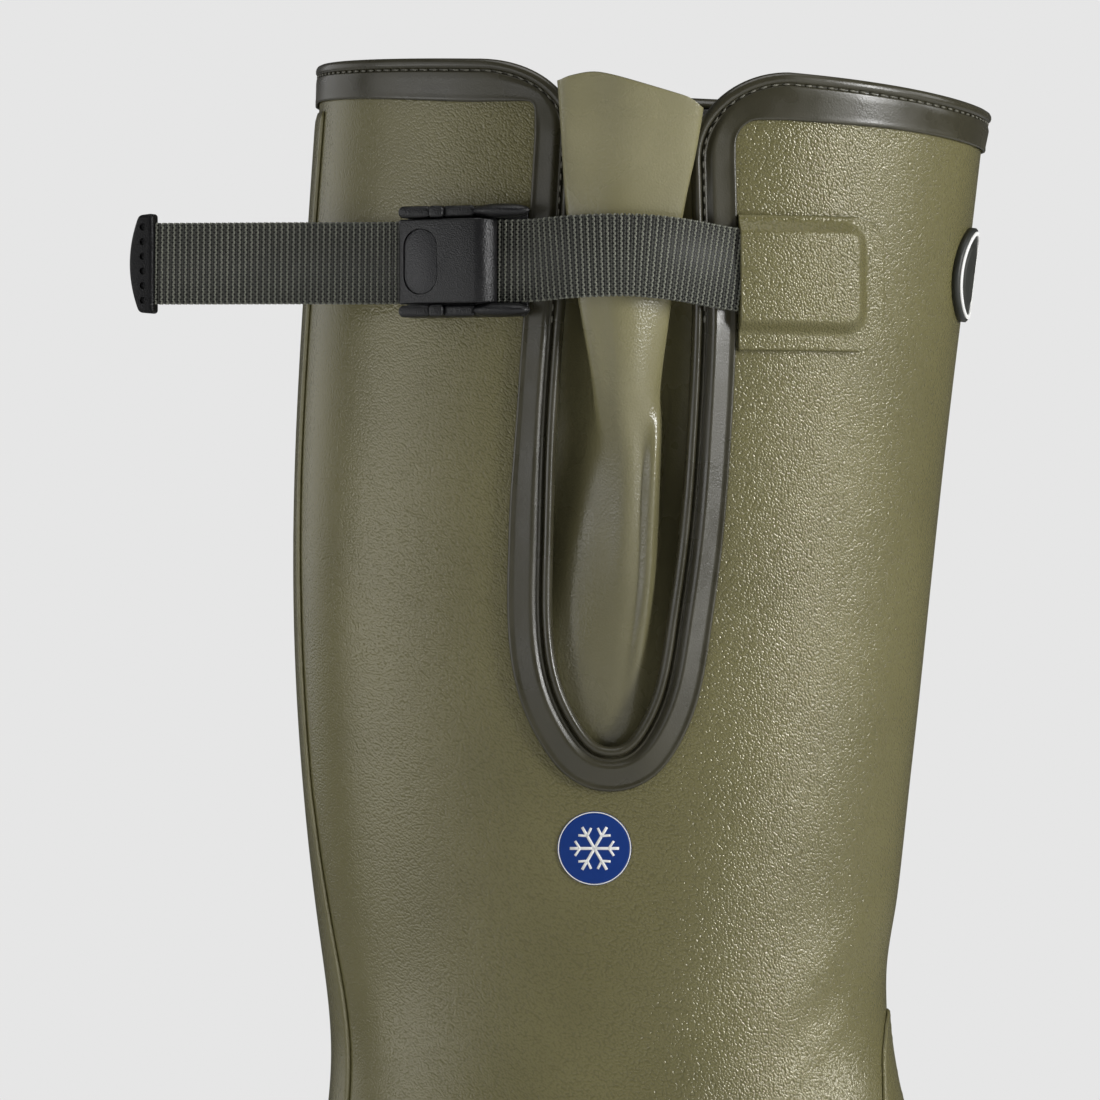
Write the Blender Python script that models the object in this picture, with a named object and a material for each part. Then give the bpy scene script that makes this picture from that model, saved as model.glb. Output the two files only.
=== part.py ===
"""Tall rubber boot for the right foot, with a buckled gusset in its outer side.

Lengths are in millimetres, and become metres where a mesh is made.
+X points to the toe, +Y to the inner side of the leg and +Z up.
The origin is on the floor, under the middle of the heel.
"""

import math
from collections import namedtuple

import bmesh
import bpy
import numpy as np

MM = 0.001

# Driving dimensions of the last
LAST_LENGTH = 300.0
HEEL_BACK = -39.5
BALL_WIDTH = 101.5
HEEL_SEAT = 31.0
INSTEP_HEIGHT = 190.0

# Wall, gaps and mesh density of the upper
WALL = 3.0
GAP = 0.3
UPPER_COLUMNS = 24
ROWS_PER_SECTION = 2
HEEL_EASE_ROWS = 1.6
HEEL_EASE_SHARE = 0.35

# Collar line, seen from the side
COLLAR_BACK_X = -30.5
COLLAR_FRONT_X = 132.6
COLLAR_BACK_Z = 398.7
COLLAR_SLOPE = 0.040
COLLAR_DIP = 5.0
COLLAR_DIP_POWER = 6
BEAD_HEIGHT = 2.9

# Slot in the outer side, with elliptical corners at the collar given by their half axes
SLOT_BOTTOM = (41.3, 231.5)
SLOT_REAR_CORNER = (21.0, 14.5)
SLOT_FRONT_CORNER = (20.5, 18.0)
SLOT_REAR_TOP = 30.2
SLOT_FRONT_TOP = 63.1
SLOT_CUT_BACK = 0.6
SLOT_CUT_SPAN = (-90.0, -20.0)
SLOT_STEPS = 46
CORNER_STEPS = 8
REAR_COLLAR_STEPS = 6
FRONT_COLLAR_STEPS = 34
PAST_CORNER = 6.0
OVER_COLLAR = 3.0

# Outsole and insole
SOLE_PROUD = 3.0
LUG_DEPTH = 6.5
LUG_DRAFT = 1.2
ARCH_RISE = 13.0
ARCH_SPAN = (52.0, 78.0)
TOE_SPRING = 11.0
TOE_SPRING_START = 185.0
SOLE_END_CUT = 0.4
ARCH_INSET = 6.0
ARCH_STEPS = 7
INSOLE_THICKNESS = 4.0
INSOLE_GAP = 1.2
INSOLE_STEPS = 26

# Gusset behind the slot
GUSSET_THICKNESS = 1.6
GUSSET_MARGINS = (16.0, 71.0)
GUSSET_DEPTH = -5.3
GUSSET_TOP = 392.0
GUSSET_PEAK = (38.3, 393.4)
GUSSET_TOP_SLOPE = 0.28
GUSSET_HEM = 1.5
GUSSET_NECK_ROOM = 2.0
POCKET_SHIFT = 0.8
SHOULDER_SHARE = 0.25
SHOULDER_RISE = 0.75
GUSSET_ACROSS = 31
GUSSET_UP = 12

# Strap, buckle and tip
STRAP_WIDTH = 19.4
STRAP_THICKNESS = 1.6
STRAP_STEPS = 48
BUCKLE_CENTRE = (7.9, 348.9)
BUCKLE_HALF_WIDTH = 13.1
CHEEK_INSIDE = 10.3
PLATE_UNDERSIDE = 0.7
PLATE_TOP = 2.0
STRAP_LEVEL = 3.1
LEVER_HALF_WIDTH = 10.0
TAIL_START = -17.0
TAIL_END = -78.9
TAIL_RISE = 0.015
TIP_LENGTH = 5.7
TIP_HALF_WIDTH = 12.0
TIP_THICKNESS = 4.0
TIP_BOW = 2.6
TIP_BOW_SHARE = 0.97
TIP_BOW_STEPS = 9

# Patch over the strap's fixed end
PATCH_REAR = 71.9
PATCH_FRONT = 105.5
PATCH_HEIGHTS = (328.0, 360.0)
PATCH_CORNER = 7.5
PATCH_FLANGE = 1.4
PATCH_RAISE = 2.6
PATCH_RAISED_FRONT = 101.4
PATCH_RAISED_HEIGHTS = (331.8, 359.4)
PATCH_SLOPE = 3.0
PATCH_CORNER_STEPS = 4
PATCH_STEPS = 10

# Overlays on the skin
OVERLAY_GAP = 0.55
STRIP_PROUD = 0.9
BADGE_PROUD = 2.0
BADGE_RADIUS = 11.4
BADGE_CENTRE = (-8.0, 348.0)
BADGE_SIDES = 24
BADGE_CUT_REACH = 9.0

# Foot sections from toe to heel: stations are shares of the last's length, measured from the heel back,
# widths are shares of the ball width, heights are shares of the heel seat (seat) or the instep (rise)
FootSection = namedtuple(
    "FootSection", "name low seat lateral medial wide_lateral wide_medial widest top rise crown power"
)
FOOT = [
    FootSection("toe tip", 0.998, 0.77, -0.100, 0.100, -0.100, 0.100, 0.30, 0.998, 0.126, 0.10, 2.3),
    FootSection("toe end", 0.990, 0.77, 0.030, 0.215, 0.055, 0.240, 0.30, 1.010, 0.200, 0.10, 2.3),
    FootSection("toe round", 0.968, 0.74, 0.153, 0.325, 0.183, 0.350, 0.30, 1.007, 0.268, 0.10, 2.3),
    FootSection("toe box", 0.928, 0.70, 0.276, 0.419, 0.306, 0.444, 0.30, 0.978, 0.332, 0.09, 2.3),
    FootSection("toe base", 0.865, 0.64, 0.389, 0.483, 0.419, 0.508, 0.30, 0.912, 0.382, 0.08, 2.3),
    FootSection("vamp", 0.775, 0.57, 0.478, 0.507, 0.508, 0.532, 0.30, 0.798, 0.437, 0.06, 2.3),
    FootSection("ball", 0.665, 0.55, 0.507, 0.493, 0.537, 0.518, 0.30, 0.682, 0.510, 0.05, 2.3),
    FootSection("waist", 0.545, 0.65, 0.478, 0.419, 0.508, 0.449, 0.30, 0.590, 0.603, 0.04, 2.3),
    FootSection("low instep", 0.415, 0.77, 0.419, 0.345, 0.458, 0.394, 0.32, 0.532, 0.700, 0.03, 2.3),
    FootSection("instep", 0.282, 0.88, 0.374, 0.330, 0.443, 0.418, 0.35, 0.502, 0.789, 0.02, 2.3),
    FootSection("ankle", 0.158, 0.96, 0.355, 0.340, 0.440, 0.435, 0.38, 0.493, 0.858, 0.01, 2.25),
    FootSection("heel side", 0.072, 1.00, 0.296, 0.296, 0.443, 0.443, 0.42, 0.493, 0.911, 0.0, 2.2),
    FootSection("heel round", 0.027, 1.00, 0.177, 0.177, 0.448, 0.448, 0.45, 0.495, 0.958, 0.0, 2.2),
    FootSection("heel back", 0.010, 1.00, 0.0, 0.0, 0.453, 0.453, 0.46, 0.498, 1.000, 0.0, 2.15),
]

# Shaft sections from heel to collar, each a tilted oval from its back point to its front point
ShaftSection = namedtuple("ShaftSection", "name back_x back_z front_x front_z half_width widest power")
SHAFT = [
    ShaftSection("heel", -39.0, 56.0, 110.9, 200.0, 46.0, 0.46, 2.15),
    ShaftSection("heel top", -36.0, 90.0, 112.2, 212.0, 46.0, 0.46, 2.1),
    ShaftSection("tendon", -29.5, 125.0, 113.7, 226.0, 46.5, 0.46, 2.1),
    ShaftSection("low shaft", -24.9, 160.0, 115.6, 243.0, 47.0, 0.47, 2.1),
    ShaftSection("shaft", -28.6, 196.0, 117.8, 264.0, 48.5, 0.47, 2.1),
    ShaftSection("low calf", -33.2, 246.0, 121.4, 298.0, 51.0, 0.48, 2.1),
    ShaftSection("calf", -33.9, 296.0, 124.9, 328.0, 54.0, 0.48, 2.1),
    ShaftSection("high calf", -31.5, 346.0, 128.6, 358.0, 56.5, 0.49, 2.1),
    ShaftSection("over collar", -27.6, 404.0, 132.8, 394.0, 58.5, 0.50, 2.1),
]
HEEL_ROW = len(FOOT) - 1
LAST_ROW = len(FOOT) + len(SHAFT) - 1
COLLAR_BLEND_ROW = LAST_ROW - 2

# Edges of the panel along the slot, from the top down
SlotEdge = namedtuple("SlotEdge", "z rear front")
SLOT = [
    SlotEdge(366.0, 29.4, 63.3),
    SlotEdge(337.0, 27.6, 63.4),
    SlotEdge(309.0, 25.7, 62.2),
    SlotEdge(280.0, 24.8, 59.8),
    SlotEdge(262.0, 24.8, 57.3),
    SlotEdge(248.0, 27.2, 54.7),
    SlotEdge(238.0, 32.0, 50.5),
    SlotEdge(232.4, 37.4, 45.3),
]

# Fold of the gusset at each height: edges of its head and neck along X, and how far pocket, neck, side and
# apex stand out from the panel's outer face
Fold = namedtuple("Fold", "z neck_rear head_rear head_front neck_front pocket neck side apex")
FOLDS = [
    Fold(224.0, 35.5, 38.0, 44.5, 47.0, -5.3, -5.3, -5.3, -5.3),
    Fold(240.0, 36.0, 38.5, 44.5, 47.0, -5.0, -4.7, -4.3, -4.0),
    Fold(255.0, 31.5, 34.5, 48.0, 51.0, -4.6, -3.4, -2.2, -1.2),
    Fold(272.0, 31.5, 34.5, 50.0, 53.0, -5.2, -2.8, -0.6, 0.8),
    Fold(287.0, 34.0, 37.0, 51.0, 53.5, -7.0, -4.0, -0.6, 1.6),
    Fold(303.0, 37.5, 39.5, 51.0, 53.0, -9.0, -4.5, -0.6, 2.6),
    Fold(324.0, 38.0, 36.5, 53.1, 52.2, -9.0, -3.0, 1.2, 4.6),
    Fold(342.0, 38.0, 33.6, 54.8, 52.2, -9.0, -1.2, 2.8, 6.0),
    Fold(362.0, 38.5, 31.1, 57.2, 52.5, -9.0, 0.4, 3.8, 7.0),
    Fold(377.0, 39.0, 30.2, 60.0, 53.0, -9.0, 0.8, 5.6, 9.6),
    Fold(392.0, 39.0, 29.2, 62.1, 53.5, -9.0, 1.0, 7.0, 13.0),
]

# Route of the strap's centre from the patch to the buckle: side view and distance from the panel
StrapPoint = namedtuple("StrapPoint", "x z out")
STRAP_ROUTE = [
    StrapPoint(70.1, 347.1, 3.1),
    StrapPoint(66.0, 347.7, 4.1),
    StrapPoint(60.0, 348.8, 6.6),
    StrapPoint(53.0, 349.8, 9.2),
    StrapPoint(45.5, 350.3, 10.4),
    StrapPoint(38.0, 350.1, 9.6),
    StrapPoint(31.5, 349.7, 7.8),
]

# Stations of the strap through the buckle and along its straight tail
TAIL_STATIONS = (17.0, 9.0, 0.0, -9.0, TAIL_START, -40.0, -60.0, TAIL_END)

# Half widths of the back strip and of the instep guard at each height, and their reach along the foot
STRIP_WIDTHS = (
    (44.0, 28.0),
    (60.0, 27.0),
    (110.0, 23.0),
    (162.0, 18.0),
    (225.0, 11.5),
    (300.0, 10.8),
    (387.0, 13.5),
)
STRIP_REACH = (-70.0, 12.0)
GUARD_WIDTHS = (
    (77.5, 11.0),
    (78.5, 19.0),
    (80.5, 25.0),
    (84.0, 28.5),
    (95.0, 30.0),
    (120.0, 27.0),
    (145.0, 21.0),
    (161.0, 14.0),
    (168.0, 9.0),
    (171.5, 4.0),
)
GUARD_REACH = (70.0, 300.0)

# Section of the collar trim: out from the panel's face, and beyond the panel's edge
TRIM_SECTION = (
    (0.45, -7.9),
    (0.85, -7.8),
    (1.1, -7.3),
    (1.4, -0.7),
    (2.0, 0.6),
    (1.4, 2.4),
    (-0.6, 2.9),
    (-2.4, 2.2),
    (-3.2, 0.4),
    (0.45, 0.4),
)

# Buckle outlines along the strap and out from the boot
CHEEK_TOPS = (
    (-14.9, 7.0),
    (-13.4, 8.4),
    (-3.8, 8.4),
    (-2.6, 7.6),
    (3.0, 7.6),
    (5.0, 8.6),
    (12.4, 8.6),
    (15.6, 6.4),
)
LEVER_OUTLINE = (
    (-15.2, 4.8),
    (1.6, 4.6),
    (6.0, 4.2),
    (8.2, 4.8),
    (8.9, 6.2),
    (7.7, 8.0),
    (4.6, 9.2),
    (1.0, 9.1),
    (-13.0, 7.6),
    (-15.4, 6.4),
)

# Rows of lugs: middle of the first, distance between rows, length along the foot, number of rows
LugRows = namedtuple("LugRows", "first pitch length count")
HEEL_LUGS = LugRows(-36.0, 18.0, 13.0, 5)
FOREFOOT_LUGS = LugRows(112.0, 21.0, 15.0, 8)

# Lugs across the sole, as shares of its width
LUG_STRIPS = ((0.0, 0.31), (0.36, 0.64), (0.69, 1.0))
STRIP_DRAFT = 0.015

# Colour and roughness of each material
OLIVE_RUBBER = ((0.150, 0.140, 0.082), 0.5)
GUSSET_RUBBER = ((0.190, 0.175, 0.110), 0.45)
TRIM_RUBBER = ((0.075, 0.072, 0.055), 0.4)
SOLE_RUBBER = ((0.060, 0.058, 0.040), 0.65)
FOOTBED_FELT = ((0.100, 0.095, 0.085), 0.9)
WEBBING = ((0.055, 0.057, 0.045), 0.8)
BLACK_PLASTIC = ((0.020, 0.020, 0.022), 0.45)
BADGE_RUBBER = ((0.025, 0.027, 0.022), 0.5)


class Track:
    """Natural cubic curve through a value at each knot, read anywhere between them."""

    def __init__(self, values, knots=None):
        self.values = np.asarray(values, float)
        count = len(self.values)
        self.knots = np.arange(count, dtype=float) if knots is None else np.asarray(knots, float)
        step = np.diff(self.knots)
        slope = np.diff(self.values) / step
        matrix = np.eye(count)
        right = np.zeros(count)
        for i in range(1, count - 1):
            matrix[i, i - 1 : i + 2] = (step[i - 1], 2.0 * (step[i - 1] + step[i]), step[i])
            right[i] = 6.0 * (slope[i] - slope[i - 1])
        self.bends = np.linalg.solve(matrix, right)

    def __call__(self, at):
        i = np.clip(np.searchsorted(self.knots, at, side="right") - 1, 0, len(self.values) - 2)
        step = self.knots[i + 1] - self.knots[i]
        b = (at - self.knots[i]) / step
        a = 1.0 - b
        bend = ((a**3 - a) * self.bends[i] + (b**3 - b) * self.bends[i + 1]) * step**2 / 6.0
        return a * self.values[i] + b * self.values[i + 1] + bend


def smooth_line(points, count):
    """Points on a smooth curve through the given points, closer together where those are closer."""
    points = np.asarray(points, float)
    lengths = np.linalg.norm(np.diff(points, axis=0), axis=1)
    knots = np.concatenate([[0.0], np.cumsum(lengths)])
    at = np.interp(np.linspace(0.0, len(knots) - 1.0, count), np.arange(len(knots)), knots)
    return np.stack([Track(column, knots)(at) for column in points.T], axis=-1)


def unit(vectors):
    """Vectors at length one."""
    return vectors / np.linalg.norm(vectors, axis=-1, keepdims=True)


def smooth_step(share):
    """Soft rise from 0 to 1."""
    share = np.clip(share, 0.0, 1.0)
    return share * share * (3.0 - 2.0 * share)


def section_tracks():
    """One track for each value that runs on from the foot to the shaft."""
    columns = {
        "top_x": [HEEL_BACK + s.top * LAST_LENGTH for s in FOOT] + [s.front_x for s in SHAFT],
        "top_z": [s.rise * INSTEP_HEIGHT for s in FOOT] + [s.front_z for s in SHAFT],
        "crown": [s.crown * BALL_WIDTH for s in FOOT] + [0.0 for s in SHAFT],
        "wide_lateral": [s.wide_lateral * BALL_WIDTH for s in FOOT] + [s.half_width for s in SHAFT],
        "wide_medial": [s.wide_medial * BALL_WIDTH for s in FOOT] + [s.half_width for s in SHAFT],
        "widest": [s.widest for s in FOOT] + [s.widest for s in SHAFT],
        "power": [s.power for s in FOOT] + [s.power for s in SHAFT],
    }
    return {name: Track(values) for name, values in columns.items()}


TRACKS = section_tracks()
SOLE_EDGE = {
    "low_x": Track([HEEL_BACK + s.low * LAST_LENGTH for s in FOOT]),
    "low_z": Track([s.seat * HEEL_SEAT for s in FOOT]),
    "lateral": Track([s.lateral * BALL_WIDTH for s in FOOT]),
    "medial": Track([s.medial * BALL_WIDTH for s in FOOT]),
}
BACK_LINE = {
    "low_x": Track([HEEL_BACK + FOOT[-1].low * LAST_LENGTH] + [s.back_x for s in SHAFT]),
    "low_z": Track([FOOT[-1].seat * HEEL_SEAT] + [s.back_z for s in SHAFT]),
}


def back_point(row):
    """Low end of the section at a row: on the sole edge of the foot, then on the back of the shaft."""
    foot_row = np.minimum(row, HEEL_ROW)
    back_row = np.maximum(row, HEEL_ROW) - HEEL_ROW
    names = ("low_x", "low_z")
    return [np.where(row < HEEL_ROW, SOLE_EDGE[name](foot_row), BACK_LINE[name](back_row)) for name in names]


def section_at(t, row):
    """Values of the section at a row, with the half widths of the side that t is on."""
    values = {name: track(row) for name, track in TRACKS.items()}
    medial = t > 0
    on_foot = row < HEEL_ROW
    foot_row = np.minimum(row, HEEL_ROW)
    values["low_x"], values["low_z"] = back_point(row)
    lateral_edge = np.where(on_foot, SOLE_EDGE["lateral"](foot_row), 0.0)
    medial_edge = np.where(on_foot, SOLE_EDGE["medial"](foot_row), 0.0)
    crown = values["crown"]
    wide = np.where(medial, values["wide_medial"] - crown, values["wide_lateral"] + crown)
    edge = np.where(medial, medial_edge - crown, lateral_edge + crown)
    values["wide"] = np.maximum(wide, 1e-6)
    values["bend"] = 2.0 / values["power"]
    share = np.clip(edge / values["wide"], 0.0, 1.0) ** (1.0 / values["bend"])
    values["low_angle"] = np.maximum(np.arccos(share), 1e-6)
    return values


def ease_heel(s, row, h):
    """Low end of the section, eased round the corner of the heel for points above the sole edge."""
    near = np.clip(1.0 - ((row - HEEL_ROW) / HEEL_EASE_ROWS) ** 2, 0.0, 1.0)
    ease = near * smooth_step(h / HEEL_EASE_SHARE)
    steps = np.linspace(-HEEL_EASE_ROWS, HEEL_EASE_ROWS, 9)
    around = np.mean([back_point(row + step) for step in steps], axis=0)
    return s["low_x"] + ease * (around[0] - s["low_x"]), s["low_z"] + ease * (around[1] - s["low_z"])


def skin(t, row):
    """Outer face: t is -1 at the back or the outer sole edge, 0 along the front, +1 on the inner side."""
    t, row = np.broadcast_arrays(np.asarray(t, float), np.asarray(row, float))
    t = np.where(np.abs(t) > 1.0 + 1e-9, (t + 1.0) % 2.0 - 1.0, t)
    s = section_at(t, row)
    angle = (1.0 - np.abs(t)) * (math.pi / 2 + s["low_angle"]) - s["low_angle"]
    out = np.abs(np.cos(angle)) ** s["bend"]
    up = np.abs(np.sin(angle)) ** s["bend"]
    down = up / np.sin(s["low_angle"]) ** s["bend"]
    high = s["widest"] + (1.0 - s["widest"]) * up
    low = s["widest"] * (1.0 - down)
    h = np.where(angle >= 0.0, high, low)
    low_x, low_z = ease_heel(s, row, h)
    x = low_x + h * (s["top_x"] - low_x)
    z = low_z + h * (s["top_z"] - low_z)
    y = s["crown"] + np.where(t > 0, 1.0, -1.0) * s["wide"] * out
    return np.stack([x, y, z], axis=-1)


def skin_normal(t, row):
    """Direction out of the outer face of the shaft."""
    dt, dr = 1e-3, 1e-2
    around = skin(t + dt, row) - skin(t - dt, row)
    along = skin(t, row + dr) - skin(t, row - dr)
    return unit(np.cross(around, along))


def off_skin(t, row, out):
    """Point at a distance from the outer face of the shaft."""
    return skin(t, row) + skin_normal(t, row) * np.asarray(out, float)[..., None]


def side_rows(x, z):
    """The t and row of the outer-side point that is seen at (x, z) from the side."""
    x, z = np.broadcast_arrays(np.asarray(x, float), np.asarray(z, float))
    low = np.full(x.shape, float(HEEL_ROW))
    high = np.full(x.shape, float(LAST_ROW))
    outer_side = np.full(x.shape, -1.0)
    for _ in range(40):
        row = (low + high) / 2
        s = section_at(outer_side, row)
        run_x = s["top_x"] - s["low_x"]
        run_z = s["top_z"] - s["low_z"]
        above = run_x * (z - s["low_z"]) > run_z * (x - s["low_x"])
        low = np.where(above, row, low)
        high = np.where(above, high, row)
    h = ((x - s["low_x"]) * run_x + (z - s["low_z"]) * run_z) / (run_x**2 + run_z**2)
    up = np.clip((h - s["widest"]) / (1.0 - s["widest"]), 0.0, 1.0) ** (1.0 / s["bend"])
    down = np.clip(1.0 - h / s["widest"], 0.0, 1.0) ** (1.0 / s["bend"])
    angle = np.arcsin(np.where(h >= s["widest"], up, -down))
    return (angle + math.pi / 2) / math.pi - 1.0, row


def on_side(x, z, out):
    """Point of the outer side that is seen at (x, z), at a distance from the outer face."""
    t, row = side_rows(x, z)
    return off_skin(t, row, out)


def collar_z(x):
    """Top of the bead round the collar, seen from the side."""
    share = np.clip((x - COLLAR_BACK_X) / (COLLAR_FRONT_X - COLLAR_BACK_X), 0.0, 1.1)
    return COLLAR_BACK_Z - COLLAR_SLOPE * (x - COLLAR_BACK_X) - COLLAR_DIP * share**COLLAR_DIP_POWER


def collar_row(t):
    """Row at which the panel ends under the bead of the collar."""
    low = np.full(np.shape(t), float(COLLAR_BLEND_ROW))
    high = np.full(np.shape(t), float(LAST_ROW))
    for _ in range(40):
        middle = (low + high) / 2
        point = skin(t, middle)
        above = point[..., 2] > collar_z(point[..., 0]) - BEAD_HEIGHT
        high = np.where(above, middle, high)
        low = np.where(above, low, middle)
    return low


def make_object(name, points, faces, finish):
    """Object from points in millimetres, with its own material."""
    mesh = bpy.data.meshes.new(name)
    mesh.from_pydata([tuple(float(c) * MM for c in p) for p in points], [], faces)
    mesh.update()
    mesh.shade_smooth()
    colour, roughness = finish
    material = bpy.data.materials.new(name)
    material.use_nodes = True
    shader = material.node_tree.nodes["Principled BSDF"]
    shader.inputs["Base Color"].default_value = (*colour, 1.0)
    shader.inputs["Roughness"].default_value = roughness
    mesh.materials.append(material)
    piece = bpy.data.objects.new(name, mesh)
    bpy.context.scene.collection.objects.link(piece)
    return piece


def face_outwards(piece):
    """Turn every face of a closed mesh outwards."""
    work = bmesh.new()
    work.from_mesh(piece.data)
    bmesh.ops.recalc_face_normals(work, faces=work.faces)
    work.to_mesh(piece.data)
    work.free()
    return piece


def closed_tube(rings, looped=False):
    """Points and faces of a tube through rings of equal length, capped unless it is a loop."""
    size = len(rings[0])
    points = [p for ring in rings for p in ring]
    faces = []
    steps = len(rings) if looped else len(rings) - 1
    for i in range(steps):
        near = i * size
        far = (i + 1) % len(rings) * size
        for k in range(size):
            m = (k + 1) % size
            faces.append([near + k, far + k, far + m, near + m])
    if not looped:
        faces.append(list(range(size)))
        faces.append(list(range(len(points) - size, len(points)))[::-1])
    return points, faces


def make_cutter(name, points, faces):
    """Hidden helper form for a Boolean."""
    cutter = face_outwards(make_object(name, points, faces, OLIVE_RUBBER))
    cutter.hide_render = True
    cutter.display_type = "WIRE"
    return cutter


def add_boolean(piece, operation, cutter):
    """Cut or intersect a piece with a helper form."""
    cut = piece.modifiers.new(operation.lower(), "BOOLEAN")
    cut.operation = operation
    cut.object = cutter
    cut.solver = "EXACT"


def slot_line():
    """Edge of the panel round the slot, seen from the side, from the rear collar to the front collar."""
    rear_x = SLOT_REAR_TOP - SLOT_REAR_CORNER[0]
    front_x = SLOT_FRONT_TOP + SLOT_FRONT_CORNER[0]
    rear_centre = (rear_x, collar_z(rear_x) - BEAD_HEIGHT - SLOT_REAR_CORNER[1])
    front_centre = (front_x, collar_z(front_x) - BEAD_HEIGHT - SLOT_FRONT_CORNER[1])
    turn = np.linspace(0.0, math.pi / 2, CORNER_STEPS)
    rear = rear_centre + np.stack([np.sin(turn), np.cos(turn)], axis=1) * SLOT_REAR_CORNER
    front = front_centre + np.stack([-np.cos(turn), np.sin(turn)], axis=1) * SLOT_FRONT_CORNER
    down = [rear[-1]] + [(edge.rear, edge.z) for edge in SLOT]
    up = [(edge.front, edge.z) for edge in SLOT[::-1]] + [front[0]]
    middle = smooth_line(down + [SLOT_BOTTOM] + up, SLOT_STEPS)
    return np.concatenate([rear, middle[1:-1], front])


def slot_cutter():
    """Prism through the outer wall only, a little wider than the edge that the trim follows."""
    line = slot_line()
    along = unit(np.gradient(line, axis=0))
    inwards = np.stack([along[:, 1], -along[:, 0]], axis=1)
    line = line + SLOT_CUT_BACK * inwards
    outline = [(line[0, 0] - PAST_CORNER, collar_z(line[0, 0]) + OVER_COLLAR)]
    outline += [tuple(p) for p in line]
    outline += [(line[-1, 0] + PAST_CORNER, collar_z(line[-1, 0]) + OVER_COLLAR)]
    rings = [[(x, y, z) for x, z in outline] for y in SLOT_CUT_SPAN]
    return make_cutter("slot_cutter", *closed_tube(rings))


def upper_sheet():
    """Outer face of the upper as one open sheet, from the sole edge to the collar."""
    rows = np.linspace(0.0, LAST_ROW, LAST_ROW * ROWS_PER_SECTION + 1)
    columns = np.linspace(-1.0, 1.0, UPPER_COLUMNS + 1)
    top = collar_row(columns)
    points = []
    index = {}
    for i, row in enumerate(rows):
        stretch = np.clip(row - COLLAR_BLEND_ROW, 0.0, None) / (LAST_ROW - COLLAR_BLEND_ROW)
        line = np.minimum(row, COLLAR_BLEND_ROW) + stretch * (top - COLLAR_BLEND_ROW)
        ring = skin(columns, line)
        for j in range(UPPER_COLUMNS + 1):
            toe_pole = i == 0 and j > 0
            back_seam = row >= HEEL_ROW and j == UPPER_COLUMNS
            if toe_pole or back_seam:
                index[i, j] = index[i, 0]
            else:
                index[i, j] = len(points)
                points.append(ring[j])
    faces = []
    for i in range(len(rows) - 1):
        for j in range(UPPER_COLUMNS):
            corners = [index[i, j], index[i, j + 1], index[i + 1, j + 1], index[i + 1, j]]
            faces.append(list(dict.fromkeys(corners)))
    return points, faces


def build_upper():
    """Hollow upper: the outer sheet given its wall inwards, with the slot cut in its outer side."""
    upper = make_object("upper", *upper_sheet(), OLIVE_RUBBER)
    wall = upper.modifiers.new("wall", "SOLIDIFY")
    wall.thickness = WALL * MM
    wall.offset = -1.0
    add_boolean(upper, "DIFFERENCE", slot_cutter())
    return upper


def skin_overlay(name, cutter, proud, finish):
    """Overlay of even thickness on the skin, as far as a helper form reaches."""
    piece = make_object(name, *upper_sheet(), finish)
    lift = piece.modifiers.new("lift", "DISPLACE")
    lift.strength = OVERLAY_GAP * MM
    lift.mid_level = 0.0
    wall = piece.modifiers.new("wall", "SOLIDIFY")
    wall.thickness = proud * MM
    wall.offset = 1.0
    add_boolean(piece, "INTERSECT", cutter)
    return piece


def width_cutter(name, widths, span):
    """Prism along the foot between two stations, as wide at each height as a table of half widths says."""
    left = [(-half, z) for z, half in widths]
    right = [(half, z) for z, half in widths[::-1]]
    rings = [[(x, y, z) for y, z in left + right] for x in span]
    return make_cutter(name, *closed_tube(rings))


def build_back_strip():
    """Strip down the back, from under the trim to the sole, wider at the heel."""
    cutter = width_cutter("back_strip_cutter", STRIP_WIDTHS, STRIP_REACH)
    return skin_overlay("back_strip", cutter, STRIP_PROUD, OLIVE_RUBBER)


def build_instep_guard():
    """Guard over the instep, with a rounded top on the shin."""
    cutter = width_cutter("instep_guard_cutter", GUARD_WIDTHS, GUARD_REACH)
    return skin_overlay("instep_guard", cutter, STRIP_PROUD, OLIVE_RUBBER)


def shin_rows(y, z):
    """The t and row of the point of the shin at a distance from its middle, and a height."""
    t = 0.0
    row = float(LAST_ROW)
    nudge = 0.01
    damping = 0.5
    outer_end = -0.4
    for _ in range(40):
        here = skin(t, row)[1:]
        by_t = (skin(t - nudge, row)[1:] - here) / -nudge
        by_row = (skin(t, row - nudge)[1:] - here) / -nudge
        step_t, step_row = np.linalg.solve(np.stack([by_t, by_row], axis=1), np.array((y, z)) - here)
        t = float(np.clip(t + damping * step_t, outer_end, 0.0))
        row = float(np.clip(row + damping * step_row, HEEL_ROW, LAST_ROW))
    return t, row


def build_front_badge():
    """Round badge on the shin, a little to the outer side."""
    t, row = shin_rows(*BADGE_CENTRE)
    centre = skin(t, row)
    normal = skin_normal(t, row)
    across = unit(np.cross((0.0, 0.0, 1.0), normal))
    up = np.cross(normal, across)
    turns = np.linspace(0.0, 2.0 * math.pi, BADGE_SIDES, endpoint=False)
    rim = [BADGE_RADIUS * (math.cos(a) * across + math.sin(a) * up) for a in turns]
    rings = [[centre + depth * normal + p for p in rim] for depth in (-BADGE_CUT_REACH, BADGE_CUT_REACH)]
    cutter = make_cutter("badge_cutter", *closed_tube(rings))
    return skin_overlay("front_badge", cutter, BADGE_PROUD, BADGE_RUBBER)


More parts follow.
